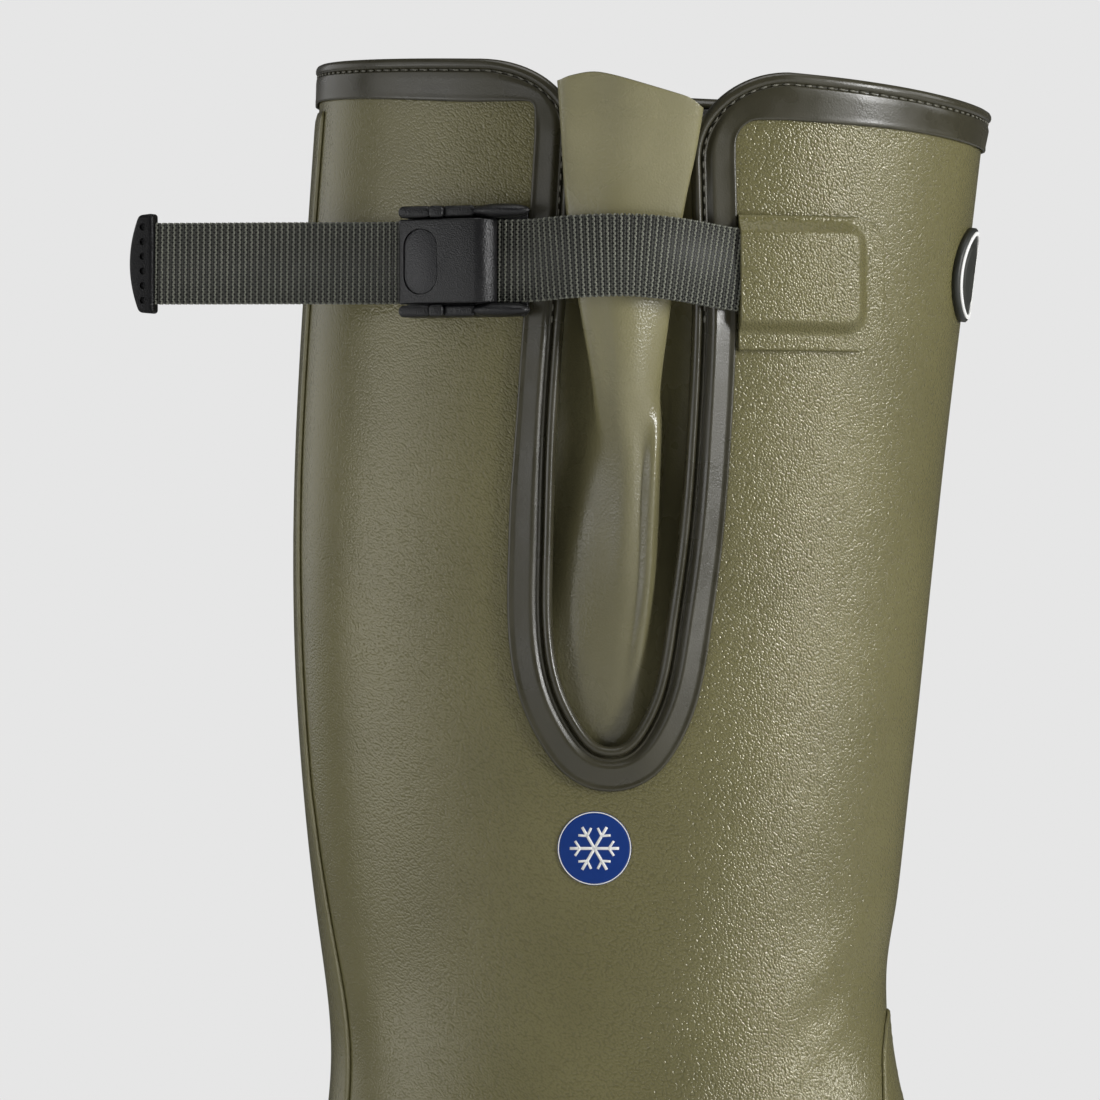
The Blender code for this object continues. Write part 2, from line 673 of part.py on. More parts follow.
def build_collar_trim():
    """One binding round the collar and down the slot: a flat band on the panel and a bead over its edge."""
    line = slot_line()
    slot_t, slot_row = side_rows(line[:, 0], line[:, 1])
    rear_t = np.linspace(-1.0, slot_t[0], REAR_COLLAR_STEPS + 1)[:-1]
    front_t = np.linspace(slot_t[-1], 1.0, FRONT_COLLAR_STEPS + 2)[1:-1]
    t = np.concatenate([rear_t, slot_t, front_t])
    row = np.concatenate([collar_row(rear_t), slot_row, collar_row(front_t)])
    edge = skin(t, row)
    normal = skin_normal(t, row)
    along = unit(np.roll(edge, -1, axis=0) - np.roll(edge, 1, axis=0))
    beyond = unit(np.cross(normal, along))
    rings = [[p + out * n + past * e for out, past in TRIM_SECTION] for p, n, e in zip(edge, normal, beyond)]
    return face_outwards(make_object("collar_trim", *closed_tube(rings, looped=True), TRIM_RUBBER))


def gusset_grid():
    """Middle of the gusset's sheet: points across the slot at each height, folded outwards above."""
    heights = [SLOT_BOTTOM[1]] + [edge.z for edge in SLOT[::-1]]
    rear_edges = [SLOT_BOTTOM[0]] + [edge.rear for edge in SLOT[::-1]]
    front_edges = [SLOT_BOTTOM[0]] + [edge.front for edge in SLOT[::-1]]
    rows = []
    for f in FOLDS:
        rear = min(np.interp(f.z, heights, rear_edges), f.neck_rear - GUSSET_NECK_ROOM)
        front = max(np.interp(f.z, heights, front_edges), f.neck_front + GUSSET_NECK_ROOM)
        middle = (f.head_rear + f.head_front) / 2
        shoulder = SHOULDER_SHARE * (f.head_front - f.head_rear)
        rise = f.side + SHOULDER_RISE * (f.apex - f.side)
        rows.append(
            [
                (GUSSET_MARGINS[0], GUSSET_DEPTH),
                (rear - GUSSET_HEM, GUSSET_DEPTH),
                ((rear + f.neck_rear) / 2 + POCKET_SHIFT, f.pocket),
                (f.neck_rear, f.neck),
                (f.head_rear, f.side),
                (f.head_rear + shoulder, rise),
                (middle, f.apex),
                (f.head_front - shoulder, rise),
                (f.head_front, f.side),
                (f.neck_front, f.neck),
                ((front + f.neck_front) / 2 - POCKET_SHIFT, f.pocket),
                (front + GUSSET_HEM, GUSSET_DEPTH),
                (GUSSET_MARGINS[1], GUSSET_DEPTH),
            ]
        )
    rows = np.array(rows)
    across = np.linspace(0.0, rows.shape[1] - 1.0, GUSSET_ACROSS)
    up = np.linspace(0.0, rows.shape[0] - 1.0, GUSSET_UP)
    fine = np.array([[Track(row[:, k])(across) for k in (0, 1)] for row in rows])
    x = np.stack([Track(column)(up) for column in fine[:, 0].T], axis=1)
    out = np.stack([Track(column)(up) for column in fine[:, 1].T], axis=1)
    level = Track([f.z for f in FOLDS])(up)[:, None]
    hem = FOLDS[0].z
    top = GUSSET_PEAK[1] - GUSSET_TOP_SLOPE * np.abs(x - GUSSET_PEAK[0])
    z = hem + (level - hem) * (top - hem) / (GUSSET_TOP - hem)
    return on_side(x, z, out)


def build_side_gusset():
    """Soft bellows behind the slot, gathered into a fold that widens to its top."""
    grid = gusset_grid()
    up, across = grid.shape[:2]
    faces = []
    for i in range(up - 1):
        for j in range(across - 1):
            first = i * across + j
            faces.append([first, first + 1, first + across + 1, first + across])
    gusset = make_object("side_gusset", grid.reshape(-1, 3), faces, GUSSET_RUBBER)
    wall = gusset.modifiers.new("wall", "SOLIDIFY")
    wall.thickness = GUSSET_THICKNESS * MM
    wall.offset = 0.0
    return gusset


class BuckleFrame:
    """Directions at the buckle: along the strap to the front, up, and out from the boot."""

    def __init__(self):
        t, row = side_rows(*BUCKLE_CENTRE)
        self.origin = skin(t, row)
        self.out = skin_normal(t, row)
        vertical = np.array((0.0, 0.0, 1.0))
        self.up = unit(vertical - vertical.dot(self.out) * self.out)
        self.front = np.cross(self.up, self.out)

    def at(self, along, up, out):
        return self.origin + along * self.front + up * self.up + out * self.out


def build_strap(frame):
    """Webbing from the patch over the gusset, straight through the buckle, to the end of its tail."""
    x, z, out = (np.array(values) for values in zip(*STRAP_ROUTE))
    over = on_side(x, z, out)
    lean = unit(on_side(x, z + STRAP_WIDTH / 2, out) - on_side(x, z - STRAP_WIDTH / 2, out))
    through = []
    for a in TAIL_STATIONS:
        rise = TAIL_RISE * max(0.0, TAIL_START - a)
        through.append(np.concatenate([frame.at(a, rise, STRAP_LEVEL), frame.up]))
    route = smooth_line(np.concatenate([np.concatenate([over, lean], axis=1), through]), STRAP_STEPS)
    line, up = route[:, :3], route[:, 3:]
    along = unit(np.gradient(line, axis=0))
    up = unit(up - np.sum(along * up, axis=1, keepdims=True) * along)
    out = np.cross(along, up)
    half = STRAP_WIDTH / 2
    thick = STRAP_THICKNESS / 2
    corners = ((-half, -thick), (half, -thick), (half, thick), (-half, thick))
    rings = [[p + a * u + b * o for a, b in corners] for p, u, o in zip(line, up, out)]
    return face_outwards(make_object("strap", *closed_tube(rings), WEBBING))


def build_buckle_base(frame):
    """Plate under the strap with a cheek along each edge."""
    rings = []
    for along, top in CHEEK_TOPS:
        channel = [
            (-BUCKLE_HALF_WIDTH, PLATE_UNDERSIDE),
            (BUCKLE_HALF_WIDTH, PLATE_UNDERSIDE),
            (BUCKLE_HALF_WIDTH, top),
            (CHEEK_INSIDE, top),
            (CHEEK_INSIDE, PLATE_TOP),
            (-CHEEK_INSIDE, PLATE_TOP),
            (-CHEEK_INSIDE, top),
            (-BUCKLE_HALF_WIDTH, top),
        ]
        rings.append([frame.at(along, up, out) for up, out in channel])
    return face_outwards(make_object("buckle_base", *closed_tube(rings), BLACK_PLASTIC))


def build_buckle_lever(frame):
    """Lever that lies on the strap and rolls over its cam at the front end."""
    rings = []
    for up in (-LEVER_HALF_WIDTH, LEVER_HALF_WIDTH):
        rings.append([frame.at(along, up, out) for along, out in LEVER_OUTLINE])
    return face_outwards(make_object("buckle_lever", *closed_tube(rings), BLACK_PLASTIC))


def build_strap_tip(frame):
    """Clip over the end of the tail, with a bowed outer edge."""
    start = TAIL_END - GAP
    middle = TAIL_RISE * (TAIL_START - start)
    turn = np.linspace(-1.0, 1.0, TIP_BOW_STEPS)
    bow = [(start - TIP_LENGTH + TIP_BOW * s * s, middle + TIP_HALF_WIDTH * TIP_BOW_SHARE * s) for s in turn]
    outline = [(start, middle - TIP_HALF_WIDTH)] + bow + [(start, middle + TIP_HALF_WIDTH)]
    rings = []
    for out in (STRAP_LEVEL - TIP_THICKNESS / 2, STRAP_LEVEL + TIP_THICKNESS / 2):
        rings.append([frame.at(along, up, out) for along, up in outline])
    return face_outwards(make_object("strap_tip", *closed_tube(rings), BLACK_PLASTIC))


def build_strap_patch():
    """Patch over the strap's fixed end: a thin flange, raised where the strap lies under it."""
    low, high = PATCH_HEIGHTS
    raised_low, raised_high = PATCH_RAISED_HEIGHTS
    corner = [PATCH_CORNER * (1.0 - math.sin(a)) for a in np.linspace(0.0, math.pi / 2, PATCH_CORNER_STEPS)]
    heights = [low + d for d in corner[::-1]] + [raised_low, raised_low + PATCH_SLOPE, (low + high) / 2]
    heights += [raised_high - PATCH_SLOPE, raised_high] + [high - d for d in corner]
    heights = sorted(set(round(z, 3) for z in heights))
    shares = np.linspace(0.0, 1.0, PATCH_STEPS)
    flat_end = PATCH_FRONT - PATCH_CORNER - PATCH_REAR
    bottom, top = [], []
    for z in heights:
        into_corner = max(0.0, low + PATCH_CORNER - z, z - high + PATCH_CORNER)
        reach = flat_end + math.sqrt(max(0.0, PATCH_CORNER**2 - into_corner**2))
        x = PATCH_REAR + shares * reach
        across = np.clip((PATCH_RAISED_FRONT - x) / PATCH_SLOPE, 0.0, 1.0)
        up = np.clip(min(z - raised_low, raised_high - z) / PATCH_SLOPE, 0.0, 1.0)
        bottom.append(on_side(x, z, np.full(x.shape, OVERLAY_GAP)))
        top.append(on_side(x, z, OVERLAY_GAP + PATCH_FLANGE + PATCH_RAISE * across * up))
    rings = [list(under) + list(over[::-1]) for under, over in zip(bottom, top)]
    points, faces = closed_tube(rings)
    size = 2 * len(shares)
    faces = faces[:-2]
    for first in (0, len(points) - size):
        for k in range(len(shares) - 1):
            faces.append([first + k, first + k + 1, first + size - 2 - k, first + size - 1 - k])
    return face_outwards(make_object("strap_patch", points, faces, OLIVE_RUBBER))


def sole_outline(proud):
    """Plan outline of the sole edge moved outwards: height, outer edge and inner edge along the foot."""
    rows = np.linspace(0.0, HEEL_ROW, 30 * HEEL_ROW)
    ring = np.concatenate([skin(-1.0, rows), skin(1.0, rows)[-2:0:-1]])
    along = np.roll(ring, -1, axis=0) - np.roll(ring, 1, axis=0)
    outward = unit(np.stack([along[:, 1], -along[:, 0]], axis=1))
    centre = ring[:, :2].mean(axis=0)
    if np.sum(outward * (ring[:, :2] - centre)) < 0:
        outward = -outward
    edge = ring[:, :2] + proud * outward
    edge = np.roll(edge, -int(np.argmax(edge[:, 0])), axis=0)
    heel = int(np.argmin(edge[:, 0]))
    lateral = edge[: heel + 1][::-1]
    medial = np.concatenate([edge[heel:], edge[:1]])
    seat = skin(-1.0, rows)[::-1]
    ends = (edge[heel, 0], edge[0, 0])

    def at(x):
        return (
            np.interp(x, seat[:, 0], seat[:, 2]),
            np.interp(x, lateral[:, 0], lateral[:, 1]),
            np.interp(x, medial[:, 0], medial[:, 1]),
        )

    return at, ends


def ground_z(x):
    """Height of the tread above the floor: flat at heel and forefoot, raised at the toe."""
    share = max(0.0, x - TOE_SPRING_START) / (HEEL_BACK + LAST_LENGTH - TOE_SPRING_START)
    return TOE_SPRING * share**2


def sole_base_z(x, heel_end, forefoot_start):
    """Underside of the sole between the lugs, raised at the arch."""
    base = ground_z(x) + LUG_DEPTH
    rise = np.interp(x, [heel_end, ARCH_SPAN[0], ARCH_SPAN[1], forefoot_start], [0.0, 1.0, 1.0, 0.0])
    return base + smooth_step(rise) * (ARCH_RISE - LUG_DEPTH)


def lug_spans(ends):
    """Start and end of every row of lugs along the foot, cut to the ends of the sole."""
    spans = []
    for rows in (HEEL_LUGS, FOREFOOT_LUGS):
        for k in range(rows.count):
            middle = rows.first + k * rows.pitch
            start = max(middle - rows.length / 2, ends[0])
            spans.append((start, min(middle + rows.length / 2, ends[1])))
    return spans


def sole_stations(spans, ends):
    """Stations along the sole, each with whether the lugs reach it."""
    round_end = (1.5, 4.0, 8.0)
    stations = [(ends[0] + step, True) for step in round_end if ends[0] + step < spans[0][1]]
    stations += [(ends[1] - step, True) for step in round_end if ends[1] - step > spans[-1][0]]
    for start, end in spans:
        stations += [(start, True), (end, True)]
        if start > ends[0]:
            stations.append((start - LUG_DRAFT, False))
        if end < ends[1]:
            stations.append((end + LUG_DRAFT, False))
    heel_end = spans[HEEL_LUGS.count - 1][1]
    forefoot_start = spans[HEEL_LUGS.count][0]
    arch = np.linspace(heel_end + ARCH_INSET, forefoot_start - ARCH_INSET, ARCH_STEPS)
    stations += [(x, False) for x in arch]
    return sorted(stations)


def build_outsole():
    """Sole closed over the whole foot, with a heel, a raised arch, toe spring and rows of lugs."""
    outline, tips = sole_outline(SOLE_PROUD)
    ends = (tips[0] + SOLE_END_CUT, tips[1] - SOLE_END_CUT)
    spans = lug_spans(ends)
    heel_end = spans[HEEL_LUGS.count - 1][1]
    forefoot_start = spans[HEEL_LUGS.count][0]
    across = []
    for left, right in LUG_STRIPS:
        if left > 0.0:
            across.append((left - STRIP_DRAFT, False))
        across += [(left, True), (right, True)]
        if right < 1.0:
            across.append((right + STRIP_DRAFT, False))
    rings = []
    for x, lugged in sole_stations(spans, ends):
        seat, lateral, medial = outline(x)
        base = sole_base_z(x, heel_end, forefoot_start)
        ring = []
        for share, strip in across:
            y = lateral + share * (medial - lateral)
            ring.append((x, y, ground_z(x) if lugged and strip else base))
        ring += [(x, medial, seat - GAP), (x, lateral, seat - GAP)]
        rings.append(ring)
    return face_outwards(make_object("outsole", *closed_tube(rings), SOLE_RUBBER))


def build_insole():
    """Flat footbed on the sole, inside the wall of the upper."""
    outline, tips = sole_outline(-WALL - INSOLE_GAP)
    share = (1.0 - np.cos(np.linspace(0.0, math.pi, INSOLE_STEPS))) / 2
    rings = []
    for x in tips[0] + SOLE_END_CUT + share * (tips[1] - tips[0] - 2 * SOLE_END_CUT):
        seat, lateral, medial = outline(x)
        top = seat + INSOLE_THICKNESS
        rings.append([(x, lateral, seat), (x, medial, seat), (x, medial, top), (x, lateral, top)])
    return face_outwards(make_object("insole", *closed_tube(rings), FOOTBED_FELT))


def build_boot():
    """Every piece of the boot, in a scene cleared of other objects."""
    for old in list(bpy.data.objects):
        bpy.data.objects.remove(old, do_unlink=True)
    build_upper()
    build_outsole()
    build_insole()
    build_collar_trim()
    build_side_gusset()
    frame = BuckleFrame()
    build_strap_patch()
    build_strap(frame)
    build_buckle_base(frame)
    build_buckle_lever(frame)
    build_strap_tip(frame)
    build_front_badge()
    build_back_strip()
    build_instep_guard()


build_boot()
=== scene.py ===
"""Looks of a tall rubber boot with a buckled side gusset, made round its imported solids.

Lengths are in millimetres in the boot's own frame, and become metres where a mesh is made.
+X points to the toe, +Y to the inner side of the leg and +Z up.
"""

import math
from collections import namedtuple

import bmesh
import bpy
import numpy as np
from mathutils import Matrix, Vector
from mathutils.bvhtree import BVHTree


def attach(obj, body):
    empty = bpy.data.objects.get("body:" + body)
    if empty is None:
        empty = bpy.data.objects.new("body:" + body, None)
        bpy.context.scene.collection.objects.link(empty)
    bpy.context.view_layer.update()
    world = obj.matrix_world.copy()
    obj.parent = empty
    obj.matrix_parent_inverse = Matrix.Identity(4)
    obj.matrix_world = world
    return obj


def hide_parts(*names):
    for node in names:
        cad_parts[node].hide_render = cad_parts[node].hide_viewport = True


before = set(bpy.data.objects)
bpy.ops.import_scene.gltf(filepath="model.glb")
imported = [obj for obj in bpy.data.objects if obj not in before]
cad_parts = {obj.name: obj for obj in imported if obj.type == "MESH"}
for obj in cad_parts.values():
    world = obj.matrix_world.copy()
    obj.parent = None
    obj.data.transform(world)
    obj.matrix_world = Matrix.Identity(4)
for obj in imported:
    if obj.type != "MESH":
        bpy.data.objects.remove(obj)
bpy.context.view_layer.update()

MM = 0.001
BODY = "root"

# Driving dimensions of the last
LAST_LENGTH = 300.0
HEEL_BACK = -39.5
BALL_WIDTH = 101.5
HEEL_SEAT = 31.0
INSTEP_HEIGHT = 190.0

# Rubber wall, bonded lining and mesh density of the upper
RUBBER_WALL = 2.2
LINING_THICKNESS = 0.7
UPPER_COLUMNS = 120
ROWS_PER_SECTION = 9
LINING_COLUMNS = 60
LINING_ROWS_PER_SECTION = 4
LINING_GAP = 0.05
CAD_WALL = 3.0

# Easing of the heel's corner: rows to each side, share of the height above the sole edge, and steps
HEEL_EASE_ROWS = 1.6
HEEL_EASE_SHARE = 0.35
HEEL_EASE_STEPS = 9

# Tolerances and search steps of the outer face and of the meshes made from it
TOE_NORMAL_ROW = 0.05
HALVINGS = 36
SEAM_MERGE = 0.01
DISC_MERGE = 0.005
SKIN_TREE_GAP = 0.02
SMALLEST = 1e-6
WRAP_SLACK = 1e-9

# Collar line, seen from the side
COLLAR_BACK_X = -30.5
COLLAR_FRONT_X = 132.6
COLLAR_BACK_Z = 398.7
COLLAR_SLOPE = 0.040
COLLAR_DIP = 5.0
COLLAR_DIP_POWER = 6
COLLAR_DIP_REACH = 1.1
BEAD_HEIGHT = 2.9

# Slot in the outer side
SLOT_BOTTOM = (41.3, 231.5)
SLOT_REAR_CORNER = (21.0, 14.5)
SLOT_FRONT_CORNER = (20.5, 18.0)
SLOT_REAR_TOP = 30.2
SLOT_FRONT_TOP = 63.1
SLOT_CUT_BACK = 0.6
SLOT_CUT_DEPTHS = (-90.0, -20.0)
SLOT_CUT_PAST_CORNER = 6.0
SLOT_CUT_OVER_COLLAR = 3.0
SLOT_STEPS = 220
CORNER_STEPS = 24
REAR_STEPS = 49
FRONT_STEPS = 258

# Outsole and insole
SOLE_PROUD = 3.0
SOLE_GAP = 0.3
LUG_DEPTH = 6.5
LUG_DRAFT = 1.2
ARCH_RISE = 13.0
ARCH_SPAN = (52.0, 78.0)
TOE_SPRING = 11.0
TOE_SPRING_START = 185.0
SOLE_END_CUT = 0.4
SOLE_END_STEPS = (0.4, 1.2, 2.5, 4.5, 7.0)
SOLE_STEPS_PER_SECTION = 60
SOLE_ROUNDING = 0.35
ARCH_MARGIN = 4.0
ARCH_STEPS = 11
GROOVE_DEPTH = 0.7
GROOVE_SHARE = 0.2
GROOVE_HEIGHTS = (5.6, 5.0, 4.3, 3.7)
INSOLE_THICKNESS = 4.0
INSOLE_GAP = 1.2
INSOLE_STEPS = 70
INSOLE_ROUNDING = 0.8

# Gusset behind the slot
GUSSET_THICKNESS = 1.6
GUSSET_MARGINS = (16.0, 71.0)
GUSSET_DEPTH = -5.3
RECESS_DEPTH = -8.5
RECESS_HEIGHTS = (262.0, 285.0)
RECESS_MARGIN = 1.5
FOLD_MARGIN = 2.0
GUSSET_TOP = 392.0
GUSSET_PEAK = (38.3, 392.9)
GUSSET_TOP_SLOPE = 0.3
GUSSET_CORNERS = (33.0, 58.5)
GUSSET_PEAK_EASE = 2.5
GUSSET_CORNER_FALL = 0.15
GUSSET_ACROSS = 121
GUSSET_UP = 150
GUSSET_ROUNDING = 0.4

# Strap, buckle and tip
STRAP_WIDTH = 19.4
STRAP_THICKNESS = 1.6
STRAP_CORE = 1.0
STRAP_CORE_INSET = 0.6
STRAP_CORE_BULGE = 0.25
STRAP_CORE_STEPS = 160
STRAP_ROUTE_STEPS = 400
BUCKLE_CENTRE = (7.9, 348.9)
BUCKLE_ENDS = (-14.9, 15.6)
BUCKLE_HALF_WIDTH = 13.1
CHEEK_INSIDE = 10.3
PLATE_UNDERSIDE = 0.7
PLATE_TOP = 2.0
PLATE_CORNER = 1.6
PLATE_ROUNDING = 0.3
BOX_CORNER_STEPS = 6
STRAP_LEVEL = 3.1
LEVER_HALF_WIDTH = 10.0
LEVER_SLOPE = 0.122
LEVER_FLAT = (-14.0, 7.5)
LEVER_ROUNDING = 0.45
INLAY_MIDDLE = -9.3
INLAY_HALF_HEIGHT = 3.35
INLAY_RADIUS = 4.5
INLAY_POCKET = (-0.7, 3.0)
INLAY_LEVELS = (-1.0, -0.38)
INLAY_GAP = 0.2
INLAY_ARC_STEPS = 24
INLAY_ROUNDING = 0.12
EAR_MIDDLE = (10.4, 11.7, 6.0)
EAR_HALF = (7.4, 1.7, 2.9)
EAR_POWER = 2.4
EAR_RINGS = 25
EAR_SIDES = 20
EAR_LEAST_SWELL = 1e-4
TAIL_START = -17.0
TAIL_END = -78.9
TAIL_RISE = 0.015
BUCKLE_STATIONS = (17.0, 9.0, 0.0, -9.0, TAIL_START, -40.0, -60.0, TAIL_END)
TIP_GAP = 0.3
TIP_LENGTH = 6.2
TIP_HALF_WIDTH = 12.0
TIP_THICKNESS = 4.0
TIP_BOW = 2.4
TIP_BOW_SHARE = 0.97
TIP_BOW_STEPS = 21
TIP_ROUNDING = 0.9
DIMPLE_COUNT = 6
DIMPLE_PITCH = 3.5
DIMPLE_INSET = 2.5
DIMPLE_RADIUS = 0.85
DIMPLE_LEVELS = (4.4, 6.0)
DIMPLE_TURN = (0, 345)
DIMPLE_SIDES = 24

# Herringbone weave of the strap, with the length, width and height of its yarn floats
WEAVE_PITCH = 1.52
FLOAT_STEP = 0.59
FLOAT_SLANT = 46.0
RIB_FLOAT = (1.0, 0.54, 0.62)
GAP_FLOAT = (0.94, 0.5, 0.5)
GAP_SINK = 0.12

# Patch over the strap's fixed end
PATCH_REAR = 71.2
PATCH_FRONT = 105.5
PATCH_HEIGHTS = (328.0, 360.0)
PATCH_CORNER = 7.5
PATCH_FLANGE = 2.0
PATCH_RAISE = 2.6
PATCH_RAISED_FRONT = 101.4
PATCH_RAISED_HEIGHTS = (331.8, 359.4)
PATCH_RAISED_CORNER = 6.0
PATCH_SLOPE = 3.8
PATCH_EDGE = 0.6
PATCH_EDGE_HEIGHTS = (0.0, 0.15, 0.35)
PATCH_EDGE_SHARES = (0.99, 0.996, 1.0)
PATCH_INNER_SHARES = (0.002, 0.982)
PATCH_EDGE_FOOT = 0.4
PATCH_STEPS = 110

# Overlays on the skin
OVERLAY_GAP = 0.1
STRIP_PROUD = 0.7
STRIP_EDGE_FOOT = 0.35
STRIP_EDGE_STEPS = 2.0

# Badge on the shin: its middle seen from the front, and sections from the middle out as radius and height
BADGE_CENTRE = (-8.0, 348.0)
BADGE_SPOKES = 72
BADGE_RAY_START = 20.0
BADGE_FIRST_RAY_X = 300.0
BADGE_SECTION = (
    (0.0, 1.5),
    (4.0, 1.5),
    (6.2, 1.5),
    (6.45, 1.75),
    (6.9, 1.85),
    (7.35, 1.75),
    (7.6, 1.5),
    (9.4, 1.5),
    (9.7, 1.62),
    (10.6, 1.7),
    (11.1, 1.62),
    (11.4, 1.3),
    (11.4, 0.0),
    (0.0, 0.0),
)
BADGE_RING_SECTION = ((9.6, 1.4), (10.6, 1.4), (10.6, 1.92), (10.45, 2.05), (9.75, 2.05), (9.6, 1.92))

# Sticker: its middle seen from the side, and a crystal whose bars have a length and a width
STICKER_CENTRE = (37.5, 210.4)
STICKER_RADIUS = 8.7
STICKER_THICKNESS = 0.3
STICKER_FOOT_REACH = 0.05
STICKER_FOOT_LEVEL = 0.02
STICKER_RINGS = 12
STICKER_SPOKES = 72
CRYSTAL_ARMS = 6
CRYSTAL_ARM = (5.8, 0.68)
CRYSTAL_FORK = (2.1, 0.56)
FORK_REACH = 3.4
FORK_LEAN = 56.0
BAR_STEPS = 5
PRINT_FOOT = 0.2
CRYSTAL_LEVEL = 0.36
RIM_LEVEL = 0.34
RIM_INSETS = (0.3, 0.08)

# Stitches along the trim
STITCH_PITCH = 2.8
STITCH_LENGTH = 1.9
STITCH_WIDTH = 0.56
STITCH_LINE = (0.86, 0.1)
STITCHED_DOWN_TO = 335.0

# Camera and frame of the picture
FRAME_WIDTH = 265.06
CAMERA_DISTANCE = 2500.0
CAMERA_HEIGHT = 225.0
CAMERA_AIM = (27.0, 0.0, 282.0)
SENSOR = 36.0
VIEW_DEPTH = 50.0

# Floor and studio light, with places and sizes of the lamps in metres
FLOOR_RADIUS = 2000.0
FLOOR_FADE_START = 0.5
FLOOR_SIDES = 96
BACKDROP = (0.791, 0.791, 0.791, 1.0)
ROOM_LIGHT = (0.07, 0.07, 0.073, 1.0)
SHAFT_MIDDLE = (0.04, 0.0, 0.28)
Lamp = namedtuple("Lamp", "name place aim size power")
LAMPS = [
    Lamp("key", (1.483, -0.8, 0.62), SHAFT_MIDDLE, (0.26, 0.8), 20.0),
    Lamp("rim", (1.69, 0.06, 0.85), SHAFT_MIDDLE, (0.45, 0.9), 4.5),
    Lamp("fill", (-1.51, -0.564, 0.85), SHAFT_MIDDLE, (1.5, 0.9), 3.6),
    Lamp("low_fill", (-1.49, -0.618, 0.2), SHAFT_MIDDLE, (1.4, 0.36), 4.2),
    Lamp("rear_rim", (-1.312, 0.946, 0.6), SHAFT_MIDDLE, (1.2, 0.9), 2.6),
    Lamp("front_fill", (-0.906, -1.352, 0.2), SHAFT_MIDDLE, (0.45, 0.34), 0.8),
    Lamp("top", (0.1, -0.3, 1.8), SHAFT_MIDDLE, (1.2, 0.9), 7.5),
    Lamp("floor_light", (0.0, -0.85, 0.8), (0.0, -1.75, 0.0), (1.6, 0.4), 8.0),
]

# Foot sections from toe to heel: stations are shares of the last's length, measured from the heel back,
# widths are shares of the ball width, heights are shares of the heel seat (seat) or the instep (rise)
FootSection = namedtuple(
    "FootSection", "name low seat lateral medial wide_lateral wide_medial widest top rise crown power"
)
FOOT = [
    FootSection("toe tip", 0.998, 0.77, -0.100, 0.100, -0.100, 0.100, 0.30, 0.998, 0.126, 0.10, 2.3),
    FootSection("toe end", 0.990, 0.77, 0.030, 0.215, 0.055, 0.240, 0.30, 1.010, 0.200, 0.10, 2.3),
    FootSection("toe round", 0.968, 0.74, 0.153, 0.325, 0.183, 0.350, 0.30, 1.007, 0.268, 0.10, 2.3),
    FootSection("toe box", 0.928, 0.70, 0.276, 0.419, 0.306, 0.444, 0.30, 0.978, 0.332, 0.09, 2.3),
    FootSection("toe base", 0.865, 0.64, 0.389, 0.483, 0.419, 0.508, 0.30, 0.912, 0.382, 0.08, 2.3),
    FootSection("vamp", 0.775, 0.57, 0.478, 0.507, 0.508, 0.532, 0.30, 0.798, 0.437, 0.06, 2.3),
    FootSection("ball", 0.665, 0.55, 0.507, 0.493, 0.537, 0.518, 0.30, 0.682, 0.510, 0.05, 2.3),
    FootSection("waist", 0.545, 0.65, 0.478, 0.419, 0.508, 0.449, 0.30, 0.590, 0.603, 0.04, 2.3),
    FootSection("low instep", 0.415, 0.77, 0.419, 0.345, 0.458, 0.394, 0.32, 0.532, 0.700, 0.03, 2.3),
    FootSection("instep", 0.282, 0.88, 0.374, 0.330, 0.443, 0.418, 0.35, 0.502, 0.789, 0.02, 2.3),
    FootSection("ankle", 0.158, 0.96, 0.355, 0.340, 0.440, 0.435, 0.38, 0.493, 0.858, 0.01, 2.25),
    FootSection("heel side", 0.072, 1.00, 0.296, 0.296, 0.443, 0.443, 0.42, 0.493, 0.911, 0.0, 2.2),
    FootSection("heel round", 0.027, 1.00, 0.177, 0.177, 0.448, 0.448, 0.45, 0.495, 0.958, 0.0, 2.2),
    FootSection("heel back", 0.010, 1.00, 0.0, 0.0, 0.453, 0.453, 0.46, 0.498, 1.000, 0.0, 2.15),
]

# Shaft sections from heel to collar, each a tilted oval from its back point to its front point
ShaftSection = namedtuple("ShaftSection", "name back_x back_z front_x front_z half_width widest power")
SHAFT = [
    ShaftSection("heel", -39.0, 56.0, 110.9, 200.0, 46.0, 0.46, 2.15),
    ShaftSection("heel top", -36.0, 90.0, 112.2, 212.0, 46.0, 0.46, 2.1),
    ShaftSection("tendon", -29.5, 125.0, 113.7, 226.0, 46.5, 0.46, 2.1),
    ShaftSection("low shaft", -24.9, 160.0, 115.6, 243.0, 47.0, 0.47, 2.1),
    ShaftSection("shaft", -28.6, 196.0, 117.8, 264.0, 48.5, 0.47, 2.1),
    ShaftSection("low calf", -33.2, 246.0, 121.4, 298.0, 51.0, 0.48, 2.1),
    ShaftSection("calf", -33.9, 296.0, 124.9, 328.0, 54.0, 0.48, 2.1),
    ShaftSection("high calf", -31.5, 346.0, 128.6, 358.0, 56.5, 0.49, 2.1),
    ShaftSection("over collar", -27.6, 404.0, 132.8, 394.0, 58.5, 0.50, 2.1),
]
HEEL_ROW = len(FOOT) - 1
LAST_ROW = len(FOOT) + len(SHAFT) - 1
COLLAR_BLEND_ROW = LAST_ROW - 2

